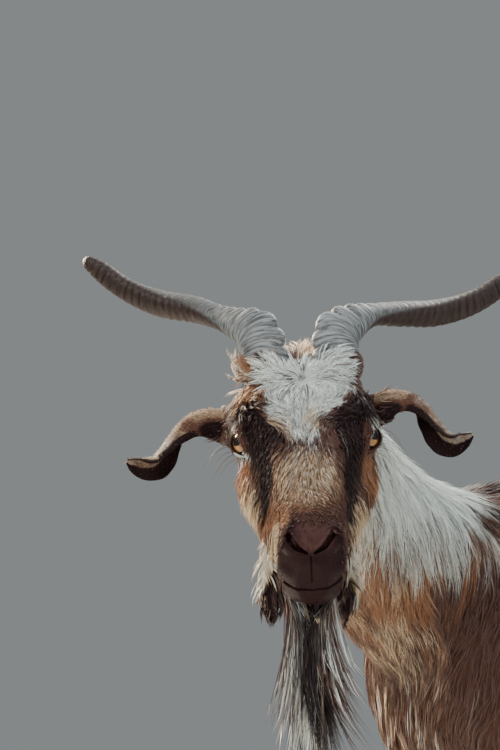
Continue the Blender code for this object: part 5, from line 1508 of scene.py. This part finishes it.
coat("belly_fringe", low_belly, 25000, 0.055, 0.0022, 0.006, per_wisp=7, rings=4, steps=5, seed=100,
     spread=0.007, gather=0.35, wild=0.14, wave=0.003, free=1.0, sag=0.45, stray=0.08)

# %% [markdown]
# Lashes stand on the ridge of the upper lid, dark and a centimetre long, and a few long pale
# feelers hang below the eye. They are strands like the others, on paths of their own.

# %% Lashes
def lash_paths(side, count, upper, long, rng):
    """From the lid's ridge outwards, drooping with the square of the share along the hair."""
    out, fore, rise = eye_axes(side)
    t = np.linspace(0.5, 2.6, count)[:, None] + rng.normal(0, 0.03, (count, 1))
    flat = np.cos(t) * fore * 0.93 + np.sin(t) * rise * (0.70 if upper else -0.72)
    lift = np.sqrt(np.clip(1 - np.sum(flat**2, axis=1, keepdims=True), 0.02, 1))
    root = eye_centre(side) + (EYE_RADIUS + 0.0030) * (flat + lift * out)
    way = unit(0.9 * out + (0.5 if upper else 0.1) * flat + rng.normal(0, 0.12, (count, 3)))
    share = np.linspace(0, 1, 5)[None, :, None]
    path = root[:, None] + long * (share * way[:, None] + (0.35 if upper else 0.9) * share**2 * DOWN)
    return path, np.broadcast_to(np.cross(way, fore)[:, None], path.shape)


def nearest_point(place):
    """The number of the skin's point closest to a place."""
    return np.argmin(np.linalg.norm(points - place, axis=1))


for side, name in SIDES.items():
    rng = np.random.default_rng(110 + side)
    over = nearest_point(eye_centre(side) + 0.018 * eye_axes(side)[2])
    paths = lash_paths(side, 46, True, 0.0085, rng)
    strands(f"lashes_{name}", *paths, np.full(46, over), 2, 0.00055, 3, rng, spread=0.0006)
    under = nearest_point(eye_centre(side) + 0.03 * SNOUT)
    paths = lash_paths(side, 9, False, 0.034, rng)
    strands(f"feelers_{name}", *paths, np.full(9, under), 1, 0.0005, 4, rng, spread=0.0006)

# %% [markdown]
# The horns are flat and twist outwards. The section is an oval with a keel that faces inwards at
# the root, lies on top at the bend and then turns back. Growth rings run round it, and the keel
# carries knobs. All are added to the radius, so they catch the light as real ridges do.

# %% Horns
# Left of the midline, above and before the eyes, half-width across the face, half-thickness.
HORN = {
    1: (
        (0.0336, 0.0622, -0.010, 0.0220, 0.0178),
        (0.0338, 0.0845, -0.012, 0.0230, 0.0178),
        (0.0366, 0.1020, -0.020, 0.0244, 0.0174),
        (0.0524, 0.1160, -0.034, 0.0182, 0.0160),
        (0.0756, 0.1250, -0.050, 0.0114, 0.0134),
        (0.1044, 0.1270, -0.066, 0.0126, 0.0130),
        (0.1437, 0.1290, -0.088, 0.0140, 0.0134),
        (0.1895, 0.1420, -0.106, 0.0120, 0.0118),
        (0.2251, 0.1638, -0.118, 0.0096, 0.0096),
        (0.2483, 0.1813, -0.124, 0.0056, 0.0056),
    ),
    -1: (
        (0.0372, 0.0650, -0.010, 0.0232, 0.0180),
        (0.0376, 0.0880, -0.012, 0.0240, 0.0180),
        (0.0446, 0.1071, -0.020, 0.0240, 0.0176),
        (0.0640, 0.1200, -0.034, 0.0158, 0.0160),
        (0.0838, 0.1300, -0.050, 0.0122, 0.0136),
        (0.1082, 0.1412, -0.066, 0.0134, 0.0132),
        (0.1477, 0.1530, -0.088, 0.0142, 0.0134),
        (0.1863, 0.1723, -0.106, 0.0112, 0.0112),
        (0.2150, 0.1952, -0.118, 0.0096, 0.0098),
        (0.2318, 0.2077, -0.124, 0.0056, 0.0056),
    ),
}
HORN_BEND, HORN_TWIST = (0.05, 0.35), math.radians(80)
KNOB_SPACING, KNOB_HEIGHT, RIB_SPACING, SCALLOP = 0.0130, 0.0080, 0.0087, 0.0104


def horn_piece(side, rows=330, columns=56):
    """Section at angle a: wide * cos(a) + knobs on the keel, thick * sin(a) * (1 - 0.3 cos a)."""
    table = even_rows(HORN[side], rows)
    path = seen(table[:, 0] * side, table[:, 1], table[:, 2])
    along = unit(np.gradient(path, axis=0))
    run = np.concatenate([[0], np.cumsum(np.linalg.norm(np.diff(path, axis=0), axis=1))])[:, None]
    share = run / run[-1]
    inward = unit(-side * LEFT * 0.86 + LOOK * 0.50)
    over = np.clip((share - HORN_BEND[0]) / (HORN_BEND[1] - HORN_BEND[0]), 0, 1)
    keel = (1 - over) * inward + over * CROWN
    keel = unit(keel - np.sum(keel * along, axis=1, keepdims=True) * along)
    turn = -side * HORN_TWIST * np.clip((share - 0.25) / 0.60, 0, 1)
    third = np.cross(along, keel)
    keel, third = keel * np.cos(turn) + third * np.sin(turn), third * np.cos(turn) - keel * np.sin(turn)
    angle = ring_angles(columns)
    front = np.cos(angle)
    tip = 1 - ramp(share, 0.88, 1.0)
    beat = np.pi * run / KNOB_SPACING + 0.7 * np.sin(run * 70)
    knob = KNOB_HEIGHT * (np.abs(np.sin(beat)) ** 0.35 - 0.60) * (1 - ramp(share, 0.15, 0.45))
    curved = run + 0.0030 * np.cos(2 * angle) + 0.0008 * np.sin(run * 217 + angle)
    rings = 0.00013 * np.sin(2 * np.pi * curved / 0.0028) + 0.00010 * np.sin(2 * np.pi * curved / 0.0047)
    ribs = 0.00045 * np.abs(np.sin(np.pi * curved / RIB_SPACING)) * ramp(share, 0.30, 0.42) * tip
    lower = ramp(-front, 0.55, 1.0) * ramp(share, 0.25, 0.4) * tip
    scallops = 0.0018 * (np.abs(np.sin(np.pi * run / SCALLOP)) - 0.5) * lower
    grow = rings * (1 - 0.5 * share) + ribs + scallops
    wide = (table[:, [3]] + grow) * front + knob * np.clip(front, 0, 1) ** 2
    thick = (table[:, [4]] + grow) * np.sin(angle) * (1 - 0.30 * front)
    rounded = np.sqrt(np.clip(1 - np.clip((share - 0.972) / 0.028, 0, 1) ** 2, 0.03, 1))
    wide, thick = wide * rounded, thick * rounded
    surface = path[:, None] + wide[..., None] * keel[:, None] + thick[..., None] * third[:, None]
    obj = mesh_object(f"horn_{SIDES[side]}_keratin", *facing_out(*tube(surface)))
    off = unit(surface - path[:, None])
    level = np.interp(share, [0.18, 0.30, 0.50, 0.85], [-1.2, -0.35, 0.30, 1.1])
    rib = np.abs(np.sin(np.pi * curved / RIB_SPACING))
    keep = np.ones_like(rib)
    for name, values in (("growth", (curved * 1000, level - off @ CROWN, rib, share * keep)),
                         ("round", (front * keep, np.sin(angle) * keep, 0 * keep, keep))):
        values = np.stack(values, -1).reshape(-1, 4)
        colour_of(obj, name, np.concatenate([values, values[[0, -1]]]))
    return shaded_smooth(obj)


horns = {side: horn_piece(side) for side in SIDES}
print("horns", [len(o.data.vertices) for o in horns.values()])

# %% [markdown]
# A goat's eye is an amber ball with a level, slot-shaped pupil. The colours are drawn in the
# eye's own frame: for each point of the ball, how far it lies along the slot and across it.

# %% Eyes
def eye_piece(side, rows=56, columns=72):
    """Ball with a cornea: radius = R * (1 + 0.05 * exp(-(polar / 0.55)^2)) round the way it looks."""
    out = unit(eye_axes(side)[0] + 0.03 * CROWN)
    level = unit(np.cross((0.0, 0.0, 1.0), out))
    rise = np.cross(out, level)
    polar = np.linspace(0.0, np.pi, rows + 1)[1:-1, None]
    turn = ring_angles(columns)
    radius = EYE_RADIUS * 0.985 * (1 + 0.05 * np.exp(-((polar / 0.55) ** 2)))
    a, b = (radius * np.sin(polar) * way(turn) for way in (np.cos, np.sin))
    c = radius * np.cos(polar) + 0 * turn
    surface = eye_centre(side) + a[..., None] * level + b[..., None] * rise + c[..., None] * out
    obj = mesh_object(f"eyeball_{SIDES[side]}", *facing_out(*tube(surface)))
    flat = polar / 0.80
    gaze = [flat * np.cos(turn), flat * np.sin(turn), flat + 0 * turn, 1 + 0 * flat * turn]
    poles = np.array([[0, 0, 0, 1], [0, 0, 5, 1]], float)
    colour_of(obj, "gaze", np.concatenate([np.stack(gaze, -1).reshape(-1, 4), poles]))
    return shaded_smooth(obj)


eyes = {side: eye_piece(side) for side in SIDES}
print("eyes at", [eye_centre(side).round(3) for side in SIDES])

# %% [markdown]
# Each hoof has two claws. A claw is a stack of D-shaped rings from the sole to the sloping
# upper edge, flat where the two face each other, longer at the toe, with faint growth rings.

# %% Hooves
CLAW_WIDTH, CLEFT = 0.0285, 0.0032


def claw_piece(kind, side, out, rows=40, columns=48):
    """Ring at a share of the height: toe and heel reach along y, a rounded D along x."""
    foot = foot_centre(kind, side)
    share = np.linspace(0, 1, rows)[:, None]
    angle = ring_angles(columns)
    toe, heel = 0.044 - 0.019 * share, 0.029 + 0.001 * share
    bulge = 1.0 + 0.05 * np.sin(np.pi * share) - 0.04 * (1 - ramp(share, 0, 0.10))
    bulge = bulge + 0.006 * np.sin(share * 46 + 0.4 * np.sin(angle)) * ramp(share, 0.05, 0.2)
    y = np.where(np.sin(angle) < 0, toe, heel) * np.sin(angle) * bulge
    x = CLAW_WIDTH / 2 * (1 + np.sign(np.cos(angle)) * np.abs(np.cos(angle)) ** 0.8 * bulge)
    x = np.maximum(x * (1 - 0.35 * np.clip(-y / toe, 0, 1) ** 2), 0.0) + CLEFT / 2
    top = CORONET - 0.0003 - CORONET_SLOPE * y
    surface = np.stack([foot[0] + out * x, foot[1] + y, share * top], -1)
    name = f"hoof_{kind}_{SIDES[side]}_{'outer' if out == side else 'inner'}"
    obj = mesh_object(name + "_horn", *facing_out(*tube(surface)))
    obj.data.polygons.foreach_set("use_smooth", np.ones(len(obj.data.polygons), bool))
    obj.data.set_sharp_from_angle(angle=math.radians(50))
    return name, obj


claws = dict(claw_piece(kind, side, out) for kind in LEGS for side in SIDES for out in (-1, 1))
print(len(claws), "claws")

# %% [markdown]
# Materials are written as sums. A small class wraps a node's output, so that adding or
# multiplying two of them adds the Math node that does it, and one method makes any other node.

# %% A small language for materials
class Value:
    """One output of a node; arithmetic on it adds Math nodes."""

    def __init__(self, finish, socket):
        self.finish, self.socket = finish, socket

    def _math(self, operation, a, b):
        return self.finish.node("ShaderNodeMath", {"operation": operation}, {0: a, 1: b})

    def __add__(self, other):
        return self._math("ADD", self, other)

    __radd__ = __add__

    def __sub__(self, other):
        return self._math("SUBTRACT", self, other)

    def __rsub__(self, other):
        return self._math("SUBTRACT", other, self)

    def __mul__(self, other):
        return self._math("MULTIPLY", self, other)

    __rmul__ = __mul__

    def __truediv__(self, other):
        return self._math("DIVIDE", self, other)

    def __pow__(self, other):
        return self._math("POWER", self, other)

    def __abs__(self):
        return self.finish.node("ShaderNodeMath", {"operation": "ABSOLUTE"}, {0: self})


class Finish:
    """A material in the making, with its main shader."""

    def __init__(self, name, **constants):
        self.material = bpy.data.materials.new(name)
        self.material.use_nodes = True
        self.tree = self.material.node_tree
        self.shader = self.tree.nodes["Principled BSDF"]
        for socket, number in constants.items():
            self.shader.inputs[socket.replace("_", " ")].default_value = number

    def node(self, kind, settings=None, inputs=None, output=0):
        """A node of this kind: settings first, then a number, colour or Value for each input."""
        made = self.tree.nodes.new(kind)
        for key, value in (settings or {}).items():
            setattr(made, key, value)
        for key, value in (inputs or {}).items():
            self.feed(made.inputs[key], value)
        return Value(self, made.outputs[output])

    def feed(self, socket, value):
        """A link from a Value, or a plain number or colour."""
        if isinstance(value, Value):
            self.tree.links.new(value.socket, socket)
        else:
            socket.default_value = value

    def attribute(self, name):
        """A colour attribute's red, green and blue as three Values, and its fourth value."""
        source = self.tree.nodes.new("ShaderNodeAttribute")
        source.attribute_name = name
        split = self.tree.nodes.new("ShaderNodeSeparateColor")
        self.tree.links.new(source.outputs["Color"], split.inputs[0])
        return [Value(self, s) for s in (*split.outputs, source.outputs["Alpha"])]

    def grain(self, scale, detail=4.0, roughness=0.6, stretch=(1, 1, 1)):
        """Noise from 0 to 1 in the object's own space, at so many cells a metre."""
        place = self.node("ShaderNodeTexCoord", output=3)
        place = self.node("ShaderNodeVectorMath", {"operation": "MULTIPLY"}, {0: place, 1: stretch})
        return self.noise_at(place, scale, detail, roughness)

    def noise_at(self, place, scale, detail, roughness):
        """Noise at a place given as a Value."""
        inputs = {"Vector": place, "Scale": scale, "Detail": detail, "Roughness": roughness}
        return self.node("ShaderNodeTexNoise", {}, inputs)

    def step(self, value, low, high):
        """A smooth step of a Value from 0 at low to 1 at high."""
        settings = {"interpolation_type": "SMOOTHSTEP"}
        return self.node("ShaderNodeMapRange", settings, {"Value": value, "From Min": low, "From Max": high})

    def mix(self, share, low, high):
        """Colour low where share is 0 and high where it is 1."""
        low = (*low, 1.0) if isinstance(low, tuple) else low
        high = (*high, 1.0) if isinstance(high, tuple) else high
        return self.node("ShaderNodeMix", {"data_type": "RGBA"}, {0: share, 6: low, 7: high}, output=2)

    def times(self, first, second):
        """Two colours multiplied."""
        settings = {"data_type": "RGBA", "blend_type": "MULTIPLY"}
        return self.node("ShaderNodeMix", settings, {0: 1.0, 6: first, 7: second}, output=2)

    def bump(self, height, distance, strength=1.0):
        inputs = {"Height": height, "Distance": distance, "Strength": strength}
        self.feed(self.shader.inputs["Normal"], self.node("ShaderNodeBump", {}, inputs))

    def set(self, **values):
        for socket, value in values.items():
            self.feed(self.shader.inputs[socket.replace("_", " ")], value)
        return self.material


# %% [markdown]
# Skin and coat share one recipe of colours, so that no pale skin shows between the strands. The
# four marking shares blend white, cream, ginger and dark over a brown ground, and a fine noise
# keeps the edges of the marks ragged. Strands vary one by one and are paler at the tip, and a
# painted shade darkens each one over the third nearest its root.

# %% Colours of skin and coat
GROUND, WHITE, CREAM = (0.130, 0.062, 0.047), (0.83, 0.90, 0.89), (0.68, 0.53, 0.36)
GINGER, DARK, NOSE = (0.33, 0.152, 0.074), (0.020, 0.007, 0.008), (0.026, 0.005, 0.006)
NOSE_TOP = (0.078, 0.034, 0.030)


def hair_colour(finish, rough):
    """Ground, then cream, ginger, dark and white over it, each where its share is high enough."""
    white, cream, ginger, dark = finish.attribute("marks")
    colour = finish.mix(finish.step(ginger + rough, 0.25, 0.75), GROUND, GINGER)
    colour = finish.mix(finish.step(cream + rough, 0.30, 0.80), colour, CREAM)
    colour = finish.mix(finish.step(white - rough, 0.30, 0.75), colour, WHITE)
    return finish.mix(finish.step(dark + rough, 0.30, 0.75), colour, DARK)


def coat_finish():
    finish = Finish("coat_hair", IOR=1.5, Specular_IOR_Level=0.30, Sheen_Weight=0.08, Sheen_Roughness=0.4)
    own, share, second, bare = finish.attribute("strand")
    colour = hair_colour(finish, (second - 0.5) * 0.62)
    colour = finish.mix(bare, colour, finish.mix(own, (0.040, 0.016, 0.013), (0.12, 0.055, 0.044)))
    # Painted shade: each strand is darker near its root, as if the coat above shaded it.
    light = (0.66 + own * 0.46 + share * 0.25) * (0.66 + 0.34 * finish.step(share, 0.0, 0.30))
    strand_tint_with_root_shade = finish.node("ShaderNodeCombineColor", {}, {0: light, 1: light * 0.985, 2: light * 0.96})
    return finish.set(Base_Color=finish.times(colour, strand_tint_with_root_shade), Roughness=0.42 + second * 0.25)


def skin_finish():
    finish = Finish("hide", IOR=1.45, Specular_IOR_Level=0.15)
    bare = finish.attribute("strand")[3]
    hide = hair_colour(finish, (finish.grain(420, 3.0) - 0.5) * 0.5)
    speckle = finish.grain(900, 5.0)
    shade = finish.times(hide, finish.mix(speckle, (0.35, 0.33, 0.32), (0.85, 0.83, 0.8)))
    pores = finish.node("ShaderNodeTexVoronoi", {"feature": "DISTANCE_TO_EDGE"},
                        {"Vector": finish.node("ShaderNodeTexCoord", output=3), "Scale": 620.0})
    # Painted shade: the nose is darkest in the grooves between its cells, the grooves that the bump sinks.
    nose = finish.mix(finish.step(pores, 0.0, 0.25), (0.008, 0.001, 0.002), NOSE)
    nose = finish.mix(finish.step(finish.attribute("marks")[2], 0.0, 0.9), nose, NOSE_TOP)
    colour = finish.mix(bare, shade, nose)
    height = bare * finish.step(pores, 0.0, 0.3) * 0.5 + (1 - bare) * speckle
    finish.bump(height, 0.0006, 0.7)
    return finish.set(Base_Color=colour, Roughness=0.75 - bare * 0.25)


def finished(obj, material, slot, *nodes):
    """Gives a piece its material, lets it ride on the body, and hides the solids that it stands for; the slot is
    not used.
    """
    obj.data.materials.clear()
    obj.data.materials.append(material)
    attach(obj, "root")
    if nodes:
        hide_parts(*nodes)


hair, hide = coat_finish(), skin_finish()
shaded_smooth(skin)
flesh = ["head", "neck", "torso", "tail"] + [f"leg_{kind}_{name}" for kind in LEGS for name in SIDES.values()]
flesh += [f"{part}_{name}" for part in ("ear", "wattle") for name in SIDES.values()]
finished(skin, hide, "face_coat", *flesh)
SLOTS = {
    "face_coat": ("lashes", "feelers", "temple", "cheek", "coat_face", "forelock"),
    "pale_coat": ("coat_neck", "coat_tail", "beard", "throat_fringe"),
    "brown_coat": ("coat_trunk", "belly_fringe"),
    "leg_coat": ("coat_legs",),
    "ear_skin": ("coat_ears",),
    "wattle_coat": ("tassel",),
}
for obj in COATS:
    finished(obj, hair, next(slot for slot, starts in SLOTS.items() if obj.name.startswith(starts)))
print("faces of the coats", sum(len(p.data.polygons) for p in COATS))

# %% [markdown]
# Horn is keratin laid down in layers: grey with fine lines across it on the side that faces up,
# and maroon with soft ribs on the side that faces down, which takes more of the horn towards the
# tip. The lines are a noise that is stretched round the horn. The eye is a dark slot in amber
# under a clear wet layer, and the hooves are dark horn.

# %% Horn, eye and hoof finishes
def horn_finish():
    finish = Finish("horn_keratin", IOR=1.5, Specular_IOR_Level=0.40)
    curved, under, rib, share = finish.attribute("growth")
    a, b, _, _ = finish.attribute("round")
    place = finish.node("ShaderNodeCombineXYZ", {}, {0: curved * 0.62, 1: a * 1.1, 2: b * 1.1})
    lines = finish.noise_at(place, 1.0, 4.0, 0.65)
    cloud = finish.grain(34, 4.0)
    grey = finish.mix(finish.step(lines, 0.36, 0.66), (0.060, 0.062, 0.064), (0.29, 0.315, 0.32))
    grey = finish.mix(finish.step(cloud, 0.55, 0.80) * 0.5, grey, (0.17, 0.14, 0.12))
    grey = finish.mix(finish.step(share, 0.15, 0.55) * 0.75, grey, (0.050, 0.044, 0.036))
    ridge = finish.step(rib * 0.45 + lines * 1.1, 0.35, 1.35)
    brown = finish.mix(ridge, (0.010, 0.004, 0.0035), (0.042, 0.021, 0.016))
    colour = finish.mix(finish.step(under + (lines - 0.5) * 0.8, -0.16, 0.16), grey, brown)
    colour = finish.mix(finish.step(share, 0.86, 0.97) * 0.8, colour, (0.030, 0.015, 0.013))
    finish.bump(lines * 0.8 + cloud * 0.2, 0.0010, 0.7)
    return finish.set(Base_Color=colour, Roughness=0.44 + lines * 0.20)


def eye_finish():
    finish = Finish("eye", Roughness=0.04, IOR=1.38, Coat_Weight=1.0, Coat_Roughness=0.02)
    along, across_slot, out, _ = finish.attribute("gaze")
    slot = (abs(along) / 0.52) ** 3.0 + (abs(across_slot) / 0.39) ** 2.6
    fibres = finish.grain(900, 5.0)
    amber = finish.mix(finish.step(fibres, 0.3, 0.7), (0.20, 0.072, 0.014), (0.58, 0.27, 0.065))
    amber = finish.mix(finish.step(out, 0.86, 1.00), amber, (0.012, 0.006, 0.005))
    colour = finish.mix(finish.step(slot, 0.70, 1.25), (0.003, 0.002, 0.003), amber)
    return finish.set(Base_Color=colour)


def hoof_finish():
    finish = Finish("hoof_horn", IOR=1.5, Specular_IOR_Level=0.4)
    bands = finish.grain(120, 5.0, 0.65, (0.25, 0.25, 2.4))
    dust = finish.grain(60, 4.0)
    colour = finish.mix(finish.step(bands, 0.3, 0.7), (0.020, 0.014, 0.011), (0.085, 0.062, 0.048))
    colour = finish.mix(finish.step(dust, 0.55, 0.8) * 0.5, colour, (0.19, 0.155, 0.12))
    finish.bump(bands, 0.0008, 0.6)
    return finish.set(Base_Color=colour, Roughness=0.45 + dust * 0.3)


keratin, eye_look, hoof_look = horn_finish(), eye_finish(), hoof_finish()
for side, name in SIDES.items():
    finished(horns[side], keratin, "horn", f"horn_{name}")
    finished(eyes[side], eye_look, "eye", f"eye_{name}")
for name, obj in claws.items():
    finished(obj, hoof_look, "hoof", name)

# %% [markdown]
# The studio: a plain pale floor, a big soft light from the front, a cool fill, and a warm soft
# light from behind that rims the hair. The camera stands 1.6 m before the face, a little below
# the eyes, and looks slightly up and past the head so that neck and shoulder are in the frame.

# %% Floor, light and camera
def floor_piece(radius=3.2, rows=24, columns=96):
    """A disc whose edge falls away: z = -0.25 * (r / radius) ** 12."""
    r = np.linspace(0.02, 1, rows)[:, None]
    turn = ring_angles(columns)
    top = np.stack([radius * r * np.cos(turn), radius * r * np.sin(turn), -0.25 * r**12 + 0 * turn], -1)
    bottom = top[::-1] - (0, 0, 0.02)
    return mesh_object("floor", *facing_out(*tube(np.concatenate([top, bottom]))))


def floor_finish():
    finish = Finish("pale_floor", Roughness=0.8)
    cloud = finish.grain(3.0, 5.0)
    return finish.set(Base_Color=finish.mix(cloud, (0.56, 0.56, 0.55), (0.64, 0.64, 0.63)))


floor = floor_piece()
floor.data.materials.append(floor_finish())
floor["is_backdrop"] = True


def soft_light(name, place, aim, size, watts, colour):
    light = bpy.data.lights.new(name, "AREA")
    light.shape, light.size, light.energy, light.color = "DISK", size, watts, colour
    obj = bpy.data.objects.new(name, light)
    obj.location = place
    obj.rotation_euler = (Vector(aim) - Vector(place)).to_track_quat("-Z", "Y").to_euler()
    bpy.context.scene.collection.objects.link(obj)


def by_the_face(look, right, up):
    """A place before (+) or behind (-) the face, to the view's right and above the eyes."""
    return EYE_LINE + look * LOOK + right * RIGHT_OF_VIEW + (0, 0, up)


soft_light("key", by_the_face(1.9, -1.3, 1.5), EYE_LINE, 1.6, 60, (1.0, 0.98, 0.95))
soft_light("fill", by_the_face(1.6, 1.9, 0.5), EYE_LINE, 2.0, 22, (0.86, 0.93, 1.0))
soft_light("rim_left", by_the_face(-1.3, -1.3, 0.9), EYE_LINE, 0.7, 170, (1.0, 0.86, 0.64))
soft_light("rim_right", by_the_face(-1.7, 0.9, 1.5), EYE_LINE, 0.8, 60, (1.0, 0.93, 0.82))
soft_light("top", (0.0, 0.15, 2.6), (0, 0, 0.6), 1.8, 30, (0.95, 0.98, 1.0))

world = bpy.data.worlds.new("studio")
bpy.context.scene.world = world
world.use_nodes = True
backdrop = world.node_tree.nodes["Background"].inputs
backdrop["Color"].default_value = (0.62, 0.66, 0.67, 1.0)
backdrop["Strength"].default_value = 0.38

PIXELS_PER_UNIT = 1600.0  # of an image 500 pixels wide and 750 high
IMAGE_WIDTH, IMAGE_HEIGHT, SENSOR = 500, 750, 36.0
AIM_POINT = (305.5, 438.0)  # where the middle of the eye line lands in that image


def aim_camera():
    """Turns the view a little at a time until the eye line lands on its place in the image."""
    place = EYE_LINE + VIEW_DISTANCE * LOOK + (0, 0, -0.032)
    pitch, yaw = math.radians(3.4), 0.0
    for _ in range(30):
        way = -LOOK * math.cos(pitch) + np.array([0, 0, 1.0]) * math.sin(pitch)
        way = unit(way * math.cos(yaw) + RIGHT_OF_VIEW * math.sin(yaw))
        across_view = unit(np.cross(way, (0, 0, 1)))
        up_view = np.cross(across_view, way)
        off = EYE_LINE - place
        x = IMAGE_WIDTH / 2 + PIXELS_PER_UNIT * (off @ across_view) / (off @ way)
        y = IMAGE_HEIGHT / 2 - PIXELS_PER_UNIT * (off @ up_view) / (off @ way)
        yaw += (x - AIM_POINT[0]) / PIXELS_PER_UNIT
        pitch += (AIM_POINT[1] - y) / PIXELS_PER_UNIT
    return place, across_view, up_view, way


place, across_view, up_view, way = aim_camera()
camera = bpy.data.objects.new("camera", bpy.data.cameras.new("camera"))
camera.data.sensor_width = SENSOR
camera.data.lens = PIXELS_PER_UNIT * SENSOR / IMAGE_HEIGHT
rows = [[across_view[i], up_view[i], -way[i], place[i]] for i in range(3)]
camera.matrix_world = Matrix(rows + [[0, 0, 0, 1]])
bpy.context.scene.collection.objects.link(camera)
bpy.context.scene.camera = camera
print("camera at", place.round(3))

# %% [markdown]
# The box of all pieces should be close to that of the solids, so both are kept side by side.

# %% Measure and finish
visual_box = [list(map(float, corner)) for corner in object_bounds()]
print("visual box", visual_box)
